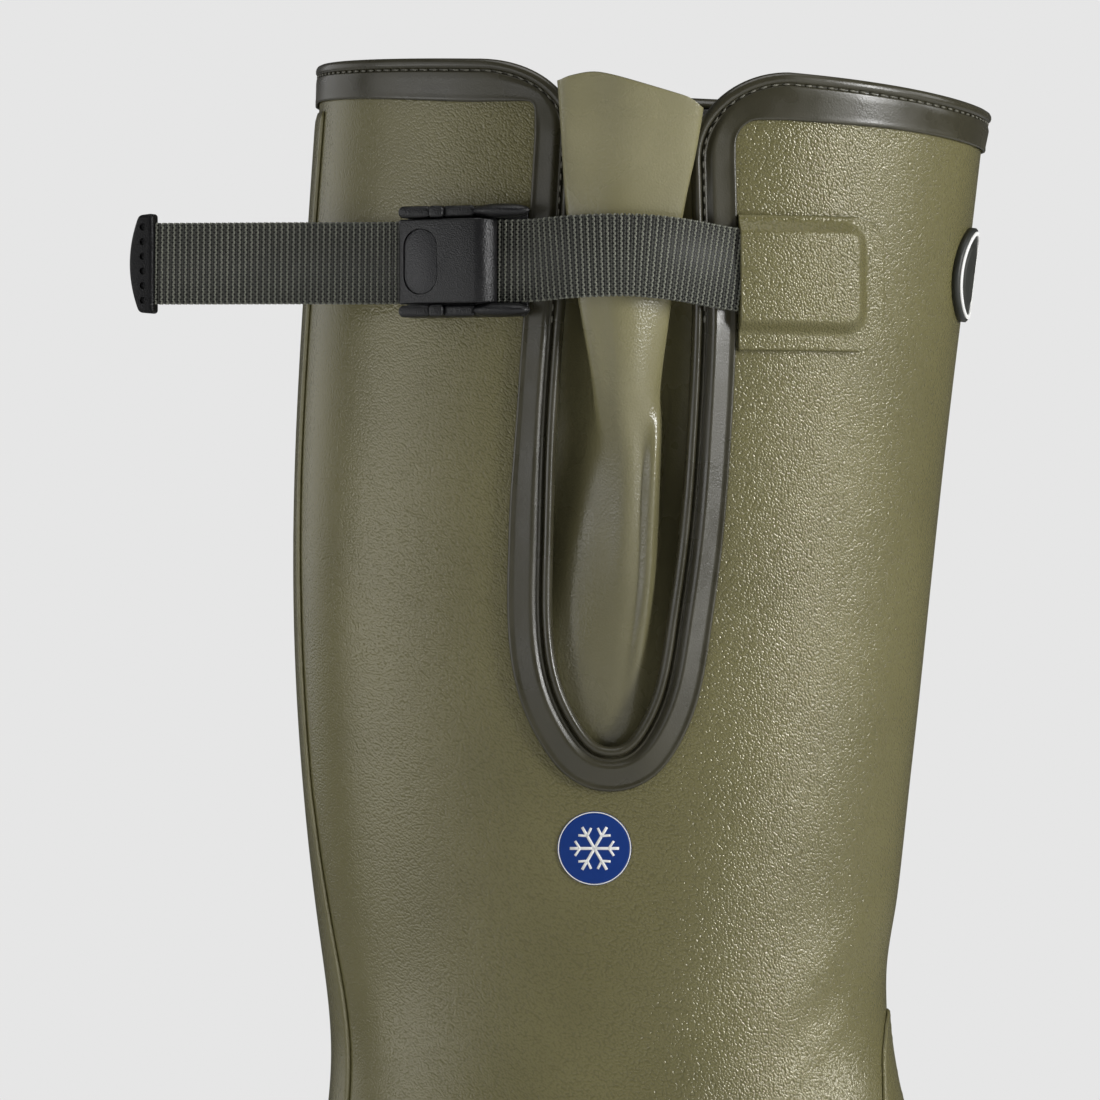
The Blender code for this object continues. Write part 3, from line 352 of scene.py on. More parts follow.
# Soft troughs and ridges of the upper, seen from the side: ends, half width and height,
# fading from a share of their length to their end
Crease = namedtuple("Crease", "name start end width rise")
CREASE_FADE_START = 0.35
CREASES = [
    Crease("ankle break", (112.0, 186.0), (44.0, 128.0), 9.0, -0.9),
    Crease("roll under the break", (116.0, 164.0), (56.0, 112.0), 8.0, 0.6),
    Crease("instep fold", (122.0, 146.0), (78.0, 104.0), 6.0, -0.6),
    Crease("tendon fold", (-40.0, 116.0), (10.0, 132.0), 8.0, -0.7),
    Crease("roll over the heel", (-44.0, 98.0), (8.0, 112.0), 8.0, 0.45),
    Crease("ball bend", (176.0, 104.0), (154.0, 48.0), 6.5, -0.6),
    Crease("toe bend", (196.0, 94.0), (180.0, 46.0), 5.5, -0.45),
]

# Edges of the panel along the slot, from the top down
SlotEdge = namedtuple("SlotEdge", "z rear front")
SLOT = [
    SlotEdge(366.0, 29.4, 63.3),
    SlotEdge(337.0, 27.6, 63.4),
    SlotEdge(309.0, 25.7, 62.2),
    SlotEdge(280.0, 24.8, 59.8),
    SlotEdge(262.0, 24.8, 57.3),
    SlotEdge(248.0, 27.2, 54.7),
    SlotEdge(238.0, 32.0, 50.5),
    SlotEdge(232.4, 37.4, 45.3),
]

# Folds of the gusset at each height, across the slot from the rear: along X, and out from the panel's face
Fold = namedtuple("Fold", "z points")
FOLDS = [
    Fold(224.0, ((34.0, -5.3), (36.0, -5.3), (38.0, -5.3), (40.0, -5.3), (41.8, -5.3),
                 (43.6, -5.3), (45.2, -5.3), (46.8, -5.3), (48.6, -5.3))),
    Fold(240.0, ((33.6, -5.1), (35.8, -4.8), (38.0, -4.5), (40.0, -4.2), (41.8, -4.1),
                 (43.6, -4.2), (45.4, -4.4), (47.0, -4.7), (49.0, -5.1))),
    Fold(255.0, ((30.6, -4.5), (33.6, -3.6), (37.0, -3.0), (40.3, -2.6), (43.2, -2.4),
                 (45.6, -2.5), (47.4, -2.2), (49.2, -3.1), (51.6, -4.5))),
    Fold(272.0, ((29.2, -5.4), (32.6, -3.9), (37.0, -2.6), (41.0, -1.6), (44.8, -1.0),
                 (47.8, -1.5), (49.7, -0.6), (51.3, -2.6), (53.6, -5.2))),
    Fold(287.0, ((30.0, -7.2), (33.8, -4.6), (38.2, -2.4), (42.0, -0.8), (45.4, 0.4),
                 (48.4, -0.5), (50.5, 0.6), (52.0, -2.3), (54.6, -6.8))),
    Fold(303.0, ((31.4, -9.0), (36.2, -4.9), (39.2, -1.6), (42.0, 0.6), (45.6, 1.9),
                 (48.8, 0.5), (51.2, 1.5), (52.5, -2.2), (55.4, -8.5))),
    Fold(314.0, ((31.8, -9.0), (37.4, -4.4), (38.4, 0.9), (41.0, 2.9), (44.2, 3.8),
                 (48.4, 2.2), (51.8, 0.4), (52.6, -2.4), (56.0, -8.8))),
    Fold(324.0, ((32.4, -9.0), (38.0, -3.4), (37.2, 3.0), (40.4, 4.9), (44.0, 5.7),
                 (48.8, 3.7), (52.6, -0.1), (52.0, -3.0), (56.6, -9.0))),
    Fold(342.0, ((33.0, -9.0), (38.2, -1.4), (34.4, 4.4), (38.6, 6.4), (43.4, 7.2),
                 (49.4, 5.0), (54.8, 1.2), (52.2, -1.8), (57.2, -9.0))),
    Fold(362.0, ((34.0, -9.0), (38.6, 0.4), (32.2, 4.8), (37.8, 6.8), (43.8, 7.6),
                 (50.6, 5.9), (57.2, 2.8), (52.5, 0.0), (57.4, -9.0))),
    Fold(377.0, ((34.4, -9.0), (39.0, 0.8), (31.8, 8.0), (37.8, 9.2), (45.0, 9.8),
                 (52.4, 8.3), (59.8, 5.0), (53.0, 0.8), (57.8, -9.0))),
    Fold(392.0, ((34.4, -9.0), (39.0, 1.0), (31.4, 10.6), (37.6, 12.2), (45.2, 13.0),
                 (53.4, 11.2), (61.8, 6.8), (53.5, 1.0), (58.0, -9.0))),
]

# Route of the strap's centre from the patch to the buckle: side view and distance from the panel
StrapPoint = namedtuple("StrapPoint", "x z out")
STRAP_ROUTE = [
    StrapPoint(71.6, 346.9, 2.7),
    StrapPoint(66.0, 347.7, 4.0),
    StrapPoint(60.0, 348.8, 6.6),
    StrapPoint(53.0, 349.8, 9.2),
    StrapPoint(45.5, 350.3, 10.4),
    StrapPoint(38.0, 350.1, 9.6),
    StrapPoint(31.5, 349.7, 7.8),
]

# Height and half width of the back strip and of the instep guard, seen along the foot
STRIP_WIDTHS = (
    (44.0, 28.0),
    (60.0, 27.0),
    (110.0, 23.0),
    (162.0, 18.0),
    (225.0, 11.5),
    (300.0, 10.8),
    (387.0, 13.5),
)
GUARD_WIDTHS = (
    (77.5, 11.0),
    (78.5, 19.0),
    (80.5, 25.0),
    (84.0, 28.5),
    (95.0, 30.0),
    (120.0, 27.0),
    (145.0, 21.0),
    (161.0, 14.0),
    (168.0, 9.0),
    (171.5, 4.0),
)
Overlay = namedtuple("Overlay", "name widths ray_start ray rows columns")
OVERLAYS = [
    Overlay("back_strip", STRIP_WIDTHS, -150.0, (1.0, 0.0, 0.0), 180, 41),
    Overlay("instep_guard", GUARD_WIDTHS, 350.0, (-1.0, 0.0, 0.0), 120, 61),
]

# Rays that lay a point on the skin start beside each other, because a single one can slip between two faces
RAYS_ASIDE = ((0.0, 0.0, 0.0), (0.03, 0.02, 0.025), (-0.02, -0.03, 0.02))

# Section of the trim along the slot and along the collar: out from the panel's face, beyond the panel's edge.
# Both end on the inside of the bead.
BEAD_INSIDE = ((-0.6, 2.9), (-1.7, 2.7), (-2.5, 2.15), (-3.05, 1.3), (-3.15, 0.45), (0.3, 0.4))
SLOT_SECTION = (
    (0.3, -7.2),
    (0.35, -7.55),
    (0.7, -7.7),
    (1.0, -7.5),
    (1.1, -7.1),
    (0.98, -6.7),
    (0.9, -6.4),
    (0.98, -5.9),
    (1.16, -4.9),
    (1.37, -3.8),
    (1.58, -2.8),
    (1.66, -2.3),
    (1.63, -1.95),
    (1.4, -1.55),
    (1.02, -1.05),
    (0.78, -0.68),
    (0.72, -0.5),
    (1.0, -0.34),
    (1.08, -0.16),
    (0.95, 0.0),
    (0.3, 0.1),
    (0.2, 0.34),
    (0.35, 0.56),
    (1.2, 0.72),
    (1.75, 1.0),
    (2.0, 1.5),
    (1.9, 2.0),
    (1.45, 2.5),
    (0.6, 2.85),
    *BEAD_INSIDE,
)
COLLAR_SECTION = (
    (0.3, -8.0),
    (0.35, -8.3),
    (0.65, -8.45),
    (0.9, -8.3),
    (1.0, -7.9),
    (1.0, -7.4),
    (0.98, -6.9),
    (1.0, -6.2),
    (1.04, -5.2),
    (1.08, -3.9),
    (1.12, -2.7),
    (1.14, -2.2),
    (1.14, -1.8),
    (1.13, -1.4),
    (1.12, -1.0),
    (1.1, -0.7),
    (1.06, -0.5),
    (1.0, -0.35),
    (0.82, -0.22),
    (0.62, -0.1),
    (0.6, 0.1),
    (0.62, 0.3),
    (0.85, 0.44),
    (1.15, 0.62),
    (1.35, 1.0),
    (1.4, 1.5),
    (1.3, 2.05),
    (1.0, 2.55),
    (0.45, 2.85),
    *BEAD_INSIDE,
)
COLLAR_REACH = (378.0, 388.0)

# Narrower stretches of the trim's band: share of the width, and where it starts and is reached,
# along the foot for the front and the back of the collar and upwards for the rear side of the slot
Narrowing = namedtuple("Narrowing", "share start end")
FRONT_NARROWING = Narrowing(0.2, 80.0, 130.0)
BACK_NARROWING = Narrowing(0.16, 10.0, -30.0)
REAR_NARROWING = Narrowing(0.12, 285.0, 315.0)
REAR_INNER_CORNER = 1.8
FRONT_INNER_CORNER = 5.8
BAND_SEARCH = 14.0
BAND_SEARCH_STEPS = 281

# Lean of the band on the front side of the slot: its height, the reach and heights over which it comes in,
# and its shape across the band
BAND_LEAN = 0.95
BAND_LEAN_REACH = 10.0
BAND_LEAN_TOP = (330.0, 356.0)
BAND_LEAN_ACROSS = ((-6.4, -2.3, -0.6), (0.0, 1.0, 0.0))

# Side view of the lever before and after its rolled end: along the strap, and out from the boot
LEVER_UNDERSIDE = ((-15.2, 4.8), (1.6, 4.6), (6.0, 4.2))
LEVER_ROLL = ((4.3, 4.7), 4.6)
LEVER_ROLL_TURN = (-6, 86)
LEVER_ROLL_STEPS = 14
LEVER_TOP = ((1.0, 9.15), (-5.0, 8.6), (-13.0, 7.6), (-14.9, 7.1), (-15.4, 6.2))

# Blocks of each cheek of the buckle: ends along the strap, corner radius, heights and edge rounding
CheekBlock = namedtuple("CheekBlock", "name rear front corner low high soft")
CHEEK_BLOCKS = [
    CheekBlock("rail", BUCKLE_ENDS[0], BUCKLE_ENDS[1] - 1.0, 1.2, 1.0, 5.4, 0.5),
    CheekBlock("block", BUCKLE_ENDS[0], -6.6, 1.3, 3.0, 8.4, 0.8),
    CheekBlock("step", -7.0, -3.4, 0.8, 3.0, 8.8, 0.6),
    CheekBlock("saddle", -3.8, 4.2, 0.8, 3.0, 7.6, 0.8),
]

# Rows of lugs: middle of the first, distance between rows, length along the foot, number of rows
LugRows = namedtuple("LugRows", "first pitch length count")
HEEL_LUGS = LugRows(-36.0, 18.0, 13.0, 5)
FOREFOOT_LUGS = LugRows(112.0, 21.0, 15.0, 8)

# Lugs across the sole, as shares of its width
LUG_STRIPS = ((0.0, 0.31), (0.36, 0.64), (0.69, 1.0))
STRIP_DRAFT = 0.015


class Track:
    """Natural cubic curve through a value at each knot, read anywhere between them."""

    def __init__(self, values, knots=None):
        self.values = np.asarray(values, float)
        count = len(self.values)
        self.knots = np.arange(count, dtype=float) if knots is None else np.asarray(knots, float)
        step = np.diff(self.knots)
        slope = np.diff(self.values) / step
        matrix = np.eye(count)
        right = np.zeros(count)
        for i in range(1, count - 1):
            matrix[i, i - 1 : i + 2] = (step[i - 1], 2.0 * (step[i - 1] + step[i]), step[i])
            right[i] = 6.0 * (slope[i] - slope[i - 1])
        self.bends = np.linalg.solve(matrix, right)

    def __call__(self, at):
        i = np.clip(np.searchsorted(self.knots, at, side="right") - 1, 0, len(self.values) - 2)
        step = self.knots[i + 1] - self.knots[i]
        b = (at - self.knots[i]) / step
        a = 1.0 - b
        bend = ((a**3 - a) * self.bends[i] + (b**3 - b) * self.bends[i + 1]) * step**2 / 6.0
        return a * self.values[i] + b * self.values[i + 1] + bend


def smooth_line(points, count):
    """Points on a smooth curve through the given points, closer together where those are closer."""
    points = np.asarray(points, float)
    lengths = np.linalg.norm(np.diff(points, axis=0), axis=1)
    knots = np.concatenate([[0.0], np.cumsum(lengths)])
    at = np.interp(np.linspace(0.0, len(knots) - 1.0, count), np.arange(len(knots)), knots)
    return np.stack([Track(column, knots)(at) for column in points.T], axis=-1)


def unit(vectors):
    """Vectors at length one."""
    vectors = np.asarray(vectors, float)
    return vectors / np.linalg.norm(vectors, axis=-1, keepdims=True)


def smooth_step(share):
    """Soft rise from 0 to 1."""
    share = np.clip(share, 0.0, 1.0)
    return share * share * (3.0 - 2.0 * share)


def round_rise(share):
    """Rise from 0 to 1 along a quarter circle."""
    return np.sqrt(np.clip(1.0 - (1.0 - np.clip(share, 0.0, 1.0)) ** 2, 0.0, 1.0))


# Shape of the last
TRACKS = {
    "top_x": Track([HEEL_BACK + s.top * LAST_LENGTH for s in FOOT] + [s.front_x for s in SHAFT]),
    "top_z": Track([s.rise * INSTEP_HEIGHT for s in FOOT] + [s.front_z for s in SHAFT]),
    "crown": Track([s.crown * BALL_WIDTH for s in FOOT] + [0.0 for s in SHAFT]),
    "wide_lateral": Track([s.wide_lateral * BALL_WIDTH for s in FOOT] + [s.half_width for s in SHAFT]),
    "wide_medial": Track([s.wide_medial * BALL_WIDTH for s in FOOT] + [s.half_width for s in SHAFT]),
    "widest": Track([s.widest for s in FOOT] + [s.widest for s in SHAFT]),
    "power": Track([s.power for s in FOOT] + [s.power for s in SHAFT]),
}
SOLE_EDGE = {
    "low_x": Track([HEEL_BACK + s.low * LAST_LENGTH for s in FOOT]),
    "low_z": Track([s.seat * HEEL_SEAT for s in FOOT]),
    "lateral": Track([s.lateral * BALL_WIDTH for s in FOOT]),
    "medial": Track([s.medial * BALL_WIDTH for s in FOOT]),
}
BACK_LINE = {
    "low_x": Track([HEEL_BACK + FOOT[-1].low * LAST_LENGTH] + [s.back_x for s in SHAFT]),
    "low_z": Track([FOOT[-1].seat * HEEL_SEAT] + [s.back_z for s in SHAFT]),
}


def back_point(row):
    """Low end of the section at a row: on the sole edge of the foot, then on the back of the shaft."""
    foot_row = np.minimum(row, HEEL_ROW)
    back_row = np.maximum(row, HEEL_ROW) - HEEL_ROW
    names = ("low_x", "low_z")
    return [np.where(row < HEEL_ROW, SOLE_EDGE[name](foot_row), BACK_LINE[name](back_row)) for name in names]


def section_at(t, row):
    """Values of the section at a row, with the half widths of the side that t is on."""
    values = {name: track(row) for name, track in TRACKS.items()}
    medial = t > 0
    on_foot = row < HEEL_ROW
    foot_row = np.minimum(row, HEEL_ROW)
    values["low_x"], values["low_z"] = back_point(row)
    lateral_edge = np.where(on_foot, SOLE_EDGE["lateral"](foot_row), 0.0)
    medial_edge = np.where(on_foot, SOLE_EDGE["medial"](foot_row), 0.0)
    crown = values["crown"]
    wide = np.where(medial, values["wide_medial"] - crown, values["wide_lateral"] + crown)
    edge = np.where(medial, medial_edge - crown, lateral_edge + crown)
    values["wide"] = np.maximum(wide, SMALLEST)
    values["bend"] = 2.0 / values["power"]
    share = np.clip(edge / values["wide"], 0.0, 1.0) ** (1.0 / values["bend"])
    values["low_angle"] = np.maximum(np.arccos(share), SMALLEST)
    return values


def ease_heel(s, row, h):
    """Low end of the section, eased round the corner of the heel for points above the sole edge."""
    near = np.clip(1.0 - ((row - HEEL_ROW) / HEEL_EASE_ROWS) ** 2, 0.0, 1.0)
    ease = near * smooth_step(h / HEEL_EASE_SHARE)
    steps = np.linspace(-HEEL_EASE_ROWS, HEEL_EASE_ROWS, HEEL_EASE_STEPS)
    around = np.mean([back_point(row + step) for step in steps], axis=0)
    return s["low_x"] + ease * (around[0] - s["low_x"]), s["low_z"] + ease * (around[1] - s["low_z"])


def skin(t, row):
    """Outer face: t is -1 at the back or the outer sole edge, 0 along the front, +1 on the inner side."""
    t, row = np.broadcast_arrays(np.asarray(t, float), np.asarray(row, float))
    wrapped = np.where(np.abs(t) > 1.0 + WRAP_SLACK, (t + 1.0) % 2.0 - 1.0, t)
    t = np.where(row >= HEEL_ROW, wrapped, np.clip(t, -1.0, 1.0))
    s = section_at(t, row)
    angle = (1.0 - np.abs(t)) * (math.pi / 2 + s["low_angle"]) - s["low_angle"]
    out = np.abs(np.cos(angle)) ** s["bend"]
    up = np.abs(np.sin(angle)) ** s["bend"]
    down = up / np.sin(s["low_angle"]) ** s["bend"]
    high = s["widest"] + (1.0 - s["widest"]) * up
    low = s["widest"] * (1.0 - down)
    h = np.where(angle >= 0.0, high, low)
    low_x, low_z = ease_heel(s, row, h)
    x = low_x + h * (s["top_x"] - low_x)
    z = low_z + h * (s["top_z"] - low_z)
    y = s["crown"] + np.where(t > 0, 1.0, -1.0) * s["wide"] * out
    return np.stack([x, y, z], axis=-1)


def skin_normal(t, row):
    """Direction out of the outer face."""
    dt, dr = 1e-3, 1e-2
    around = skin(t + dt, row) - skin(t - dt, row)
    along = skin(t, row + dr) - skin(t, row - dr)
    return unit(np.cross(around, along))


def off_skin(t, row, out):
    """Point at a distance from the outer face of the shaft."""
    return skin(t, row) + skin_normal(t, row) * np.asarray(out, float)[..., None]


def crease_height(points):
    """How far the soft creases lift or sink the outer face at each of its points."""
    height = np.zeros(points.shape[:-1])
    side = points[..., (0, 2)]
    for crease in CREASES:
        start = np.array(crease.start)
        run = np.array(crease.end) - start
        share = np.clip((side - start) @ run / (run @ run), 0.0, 1.0)
        away = np.linalg.norm(side - start - share[..., None] * run, axis=-1)
        fade = 1.0 - smooth_step((share - CREASE_FADE_START) / (1.0 - CREASE_FADE_START))
        height += crease.rise * fade * np.exp(-((away / crease.width) ** 2))
    return height


def creased_skin(t, row, out):
    """Point at a distance from the outer face with its creases."""
    point = skin(t, row)
    normal = skin_normal(t, np.maximum(row, TOE_NORMAL_ROW))
    return point + normal * (out + crease_height(point))[..., None]


def side_rows(x, z):
    """The t and row of the outer-side point that is seen at (x, z) from the side."""
    x, z = np.broadcast_arrays(np.asarray(x, float), np.asarray(z, float))
    low = np.full(x.shape, float(HEEL_ROW))
    high = np.full(x.shape, float(LAST_ROW))
    outer_side = np.full(x.shape, -1.0)
    for _ in range(HALVINGS):
        row = (low + high) / 2
        s = section_at(outer_side, row)
        run_x = s["top_x"] - s["low_x"]
        run_z = s["top_z"] - s["low_z"]
        above = run_x * (z - s["low_z"]) > run_z * (x - s["low_x"])
        low = np.where(above, row, low)
        high = np.where(above, high, row)
    h = ((x - s["low_x"]) * run_x + (z - s["low_z"]) * run_z) / (run_x**2 + run_z**2)
    up = np.clip((h - s["widest"]) / (1.0 - s["widest"]), 0.0, 1.0) ** (1.0 / s["bend"])
    down = np.clip(1.0 - h / s["widest"], 0.0, 1.0) ** (1.0 / s["bend"])
    angle = np.arcsin(np.where(h >= s["widest"], up, -down))
    return (angle + math.pi / 2) / math.pi - 1.0, row


def on_side(x, z, out):
    """Point of the outer side that is seen at (x, z), at a distance from the outer face."""
    t, row = side_rows(x, z)
    return off_skin(t, row, out)


def collar_z(x):
    """Top of the bead round the collar, seen from the side."""
    share = np.clip((x - COLLAR_BACK_X) / (COLLAR_FRONT_X - COLLAR_BACK_X), 0.0, COLLAR_DIP_REACH)
    return COLLAR_BACK_Z - COLLAR_SLOPE * (x - COLLAR_BACK_X) - COLLAR_DIP * share**COLLAR_DIP_POWER


def collar_row(t):
    """Row at which the panel ends under the bead of the collar."""
    low = np.full(np.shape(t), float(COLLAR_BLEND_ROW))
    high = np.full(np.shape(t), float(LAST_ROW))
    for _ in range(HALVINGS):
        middle = (low + high) / 2
        point = skin(t, middle)
        above = point[..., 2] > collar_z(point[..., 0]) - BEAD_HEIGHT
        high = np.where(above, middle, high)
        low = np.where(above, low, middle)
    return low


def slot_line():
    """Edge of the panel round the slot, seen from the side, from the rear collar to the front collar."""
    rear_x = SLOT_REAR_TOP - SLOT_REAR_CORNER[0]
    front_x = SLOT_FRONT_TOP + SLOT_FRONT_CORNER[0]
    rear_centre = (rear_x, collar_z(rear_x) - BEAD_HEIGHT - SLOT_REAR_CORNER[1])
    front_centre = (front_x, collar_z(front_x) - BEAD_HEIGHT - SLOT_FRONT_CORNER[1])
    turn = np.linspace(0.0, math.pi / 2, CORNER_STEPS)
    rear = rear_centre + np.stack([np.sin(turn), np.cos(turn)], axis=1) * SLOT_REAR_CORNER
    front = front_centre + np.stack([-np.cos(turn), np.sin(turn)], axis=1) * SLOT_FRONT_CORNER
    down = [rear[-1]] + [(edge.rear, edge.z) for edge in SLOT]
    up = [(edge.front, edge.z) for edge in SLOT[::-1]] + [front[0]]
    middle = smooth_line(down + [SLOT_BOTTOM] + up, SLOT_STEPS)
    return np.concatenate([rear, middle[1:-1], front])


# Meshes and pieces


def grid_faces(rows, columns, looped=False):
    """Quads between the points of a grid that is stored row by row."""
    faces = []
    across = columns if looped else columns - 1
    for i in range(rows - 1):
        for j in range(across):
            k = (j + 1) % columns
            faces.append((i * columns + j, i * columns + k, (i + 1) * columns + k, (i + 1) * columns + j))
    return faces


def new_mesh(name, points, faces):
    """Smooth-shaded mesh from points in millimetres."""
    mesh = bpy.data.meshes.new(name)
    mesh.from_pydata((np.asarray(points, float).reshape(-1, 3) * MM).tolist(), [], faces)
    mesh.shade_smooth()
    return mesh


def tube_mesh(name, rings, looped=False):
    """Mesh of a tube through rings of equal length, capped unless it is a loop."""
    rings = np.asarray(rings, float)
    count, size = rings.shape[:2]
    faces = grid_faces(count, size, looped=True)
    if looped:
        last = (count - 1) * size
        faces += [(last + k, last + (k + 1) % size, (k + 1) % size, k) for k in range(size)]
    else:
        faces += [tuple(range(size)), tuple(range(count * size - 1, (count - 1) * size - 1, -1))]
    return face_outwards(new_mesh(name, rings, faces))


def face_outwards(mesh, merge=0.0, fill=False):
    """Turn every face of a mesh outwards, after merging points within a distance or filling its holes."""
    work = bmesh.new()
    work.from_mesh(mesh)
    if merge:
        bmesh.ops.remove_doubles(work, verts=work.verts, dist=merge * MM)
    if fill:
        bmesh.ops.holes_fill(work, edges=work.edges, sides=0)
    bmesh.ops.recalc_face_normals(work, faces=work.faces)
    work.to_mesh(mesh)
    work.free()
    return mesh


def scratch_object(mesh):
    """Object in the scene that a mesh is worked on with."""
    scratch = bpy.data.objects.new("scratch", mesh)
    bpy.context.scene.collection.objects.link(scratch)
    return scratch


def taken_from(scratch):
    """Mesh of a scratch object after its modifiers, with the object taken away."""
    result = bpy.data.meshes.new_from_object(scratch.evaluated_get(bpy.context.evaluated_depsgraph_get()))
    bpy.data.objects.remove(scratch)
    return result


def worked(mesh, *steps):
    """Mesh after modifier steps, each a kind with its settings."""
    scratch = scratch_object(mesh)
    for kind, settings in steps:
        modifier = scratch.modifiers.new(kind.lower(), kind)
        for name, value in settings.items():
            setattr(modifier, name, value)
    result = taken_from(scratch)
    result.name = mesh.name
    return result


def cut(mesh, cutter):
    """Mesh with another mesh cut out of it."""
    tool = scratch_object(cutter)
    result = worked(mesh, ("BOOLEAN", {"operation": "DIFFERENCE", "object": tool, "solver": "EXACT"}))
    bpy.data.objects.remove(tool)
    return result


def joined(name, meshes):
    """One mesh from several."""
    work = bmesh.new()
    for mesh in meshes:
        work.from_mesh(mesh)
    result = bpy.data.meshes.new(name)
    work.to_mesh(result)
    work.free()
    return result


def creased(mesh, degrees):
    """Smooth-shaded mesh with its edges above an angle kept sharp."""
    mesh.shade_smooth()
    mesh.set_sharp_from_angle(angle=math.radians(degrees))
    return mesh


def rounded(mesh, width, segments=2, angle=35.0):
    """Mesh with its sharp edges rounded."""
    settings = {
        "width": width * MM,
        "segments": segments,
        "limit_method": "ANGLE",
        "angle_limit": math.radians(angle),
        "harden_normals": False,
    }
    return creased(worked(mesh, ("BEVEL", settings)), degrees=50.0)


def add_piece(name, mesh, finish, slot, *nodes):
    """Piece of the boot with its material, in place of the nodes that it stands for."""
    mesh.name = name
    mesh.materials.clear()
    mesh.materials.append(finish)
    piece = bpy.data.objects.new(name, mesh)
    bpy.context.scene.collection.objects.link(piece)
    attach(piece, BODY)
    if nodes:
        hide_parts(*nodes)
    return piece


# Materials


class Wire:
    """A shader value that takes part in sums."""

    def __init__(self, finish, socket):
        self.finish = finish
        self.socket = socket

    def math(self, operation, *values):
        """Result of a Math node."""
        return self.finish.node("ShaderNodeMath", {"operation": operation}, dict(enumerate(values)))

    def __add__(self, other):
        return self.math("ADD", self, other)

    __radd__ = __add__

    def __sub__(self, other):
        return self.math("SUBTRACT", self, other)

    def __rsub__(self, other):
        return self.math("SUBTRACT", other, self)

    def __mul__(self, other):
        return self.math("MULTIPLY", self, other)

    __rmul__ = __mul__

    def ease(self, low, high):
        """Soft rise from 0 at low to 1 at high."""
        settings = {"interpolation_type": "SMOOTHSTEP"}
        inputs = {"Value": self, "From Min": low, "From Max": high}
        return self.finish.node("ShaderNodeMapRange", settings, inputs)


class Finish:
    """A material with one Principled shader, built from sums of shader values."""

    def __init__(self, name, **sockets):
        self.material = bpy.data.materials.new(name)
        self.material.use_nodes = True
        self.tree = self.material.node_tree
        self.shader = self.tree.nodes["Principled BSDF"]
        self.place = self.node("ShaderNodeTexCoord", {}, {}, "Object")
        self.set(**sockets)

    def node(self, kind, settings, inputs, output=0):
        """Node of a kind, with its settings first and then the values or links of its sockets."""
        node = self.tree.nodes.new(kind)
        for name, value in settings.items():
            setattr(node, name, value)
        for name, value in inputs.items():
            self.feed(node.inputs[name], value)
        return Wire(self, node.outputs[output])

    def feed(self, socket, value):
        """Link a shader value to a socket, or set a number or a colour on it."""
        if isinstance(value, Wire):
            self.tree.links.new(value.socket, socket)
        elif isinstance(value, tuple) and len(value) == 3 and socket.type == "RGBA":
            socket.default_value = (*value, 1.0)
        else:
            socket.default_value = value

    def set(self, **sockets):
        """Values or links of the shader's own sockets, with underscores for spaces in their names."""
        for name, value in sockets.items():
            self.feed(self.shader.inputs[name.replace("_", " ")], value)

    def mapped(self, size, turn=(0.0, 0.0, 0.0), stretch=(1.0, 1.0, 1.0)):
        """Object coordinates in steps of a size in millimetres, turned by degrees and stretched."""
        inputs = {
            "Vector": self.place,
            "Rotation": tuple(math.radians(a) for a in turn),
            "Scale": tuple(size * s * MM for s in stretch),
        }
        return self.node("ShaderNodeMapping", {"vector_type": "TEXTURE"}, inputs)

    def noise(self, size, detail=2.0, roughness=0.5, stretch=(1.0, 1.0, 1.0)):
        """Cloudy pattern about 0.5, with clouds of a size in millimetres."""
        vector = self.mapped(size, stretch=stretch)
        inputs = {"Vector": vector, "Scale": 1.0, "Detail": detail, "Roughness": roughness}
        return self.node("ShaderNodeTexNoise", {}, inputs, "Fac")

    def cells(self, vector, smoothness=None):
        """Distance from the middle of the nearest cell, with soft borders where a smoothness is given."""
        if smoothness is None:
            return self.node("ShaderNodeTexVoronoi", {}, {"Vector": vector, "Scale": 1.0}, "Distance")
        inputs = {"Vector": vector, "Scale": 1.0, "Smoothness": smoothness}
        return self.node("ShaderNodeTexVoronoi", {"feature": "SMOOTH_F1"}, inputs, "Distance")

    def mix(self, factor, first, second):
        """Colour between two others."""
        settings = {"data_type": "RGBA", "clamp_factor": True}
        return self.node("ShaderNodeMix", settings, {0: factor, 6: first, 7: second}, 2)

    def bump(self, height, depth):
        """Normal of a relief whose height runs from 0 to 1 over a depth in millimetres."""
        inputs = {"Height": height, "Distance": depth * MM, "Strength": 1.0}
        return self.node("ShaderNodeBump", {}, inputs, "Normal")

    def coordinate(self, axis):
        """One of the Object coordinates, in metres."""
        return self.node("ShaderNodeSeparateXYZ", {}, {"Vector": self.place}, axis)


def shade(colour, factor):
    """A colour made darker or lighter."""
    return tuple(c * factor for c in colour)


# Colours, and where in metres the grain and its painted crease shade deepen to the front and the painted
# shade low on the gusset fades out upwards
OLIVE = (0.160, 0.146, 0.064)
OLIVE_TRIM = (0.047, 0.043, 0.025)
OLIVE_GUSSET = (0.255, 0.234, 0.119)
YARN = (0.252, 0.260, 0.208)
# Near-black core of the strap: painted shade seen between its floats
PAINTED_SHADE_CORE = (0.006, 0.006, 0.005)
BLACK = (0.006, 0.006, 0.0065)
SOLE_OLIVE = (0.070, 0.066, 0.042)
FELT = (0.105, 0.098, 0.086)
KNIT = (0.045, 0.043, 0.035)
BADGE_BLACK = (0.022, 0.024, 0.018)
THREAD_OLIVE = (0.190, 0.182, 0.140)
FLOOR_GREY = (0.75, 0.75, 0.75)
STICKER_BLUE = (0.002, 0.034, 0.210)
WHITE = (0.92, 0.92, 0.89)
GRAIN_AND_CREASE_SHADE_DEEPEN = (-0.014, 0.022)
GUSSET_SHADE_FADES = (0.27, 0.345)


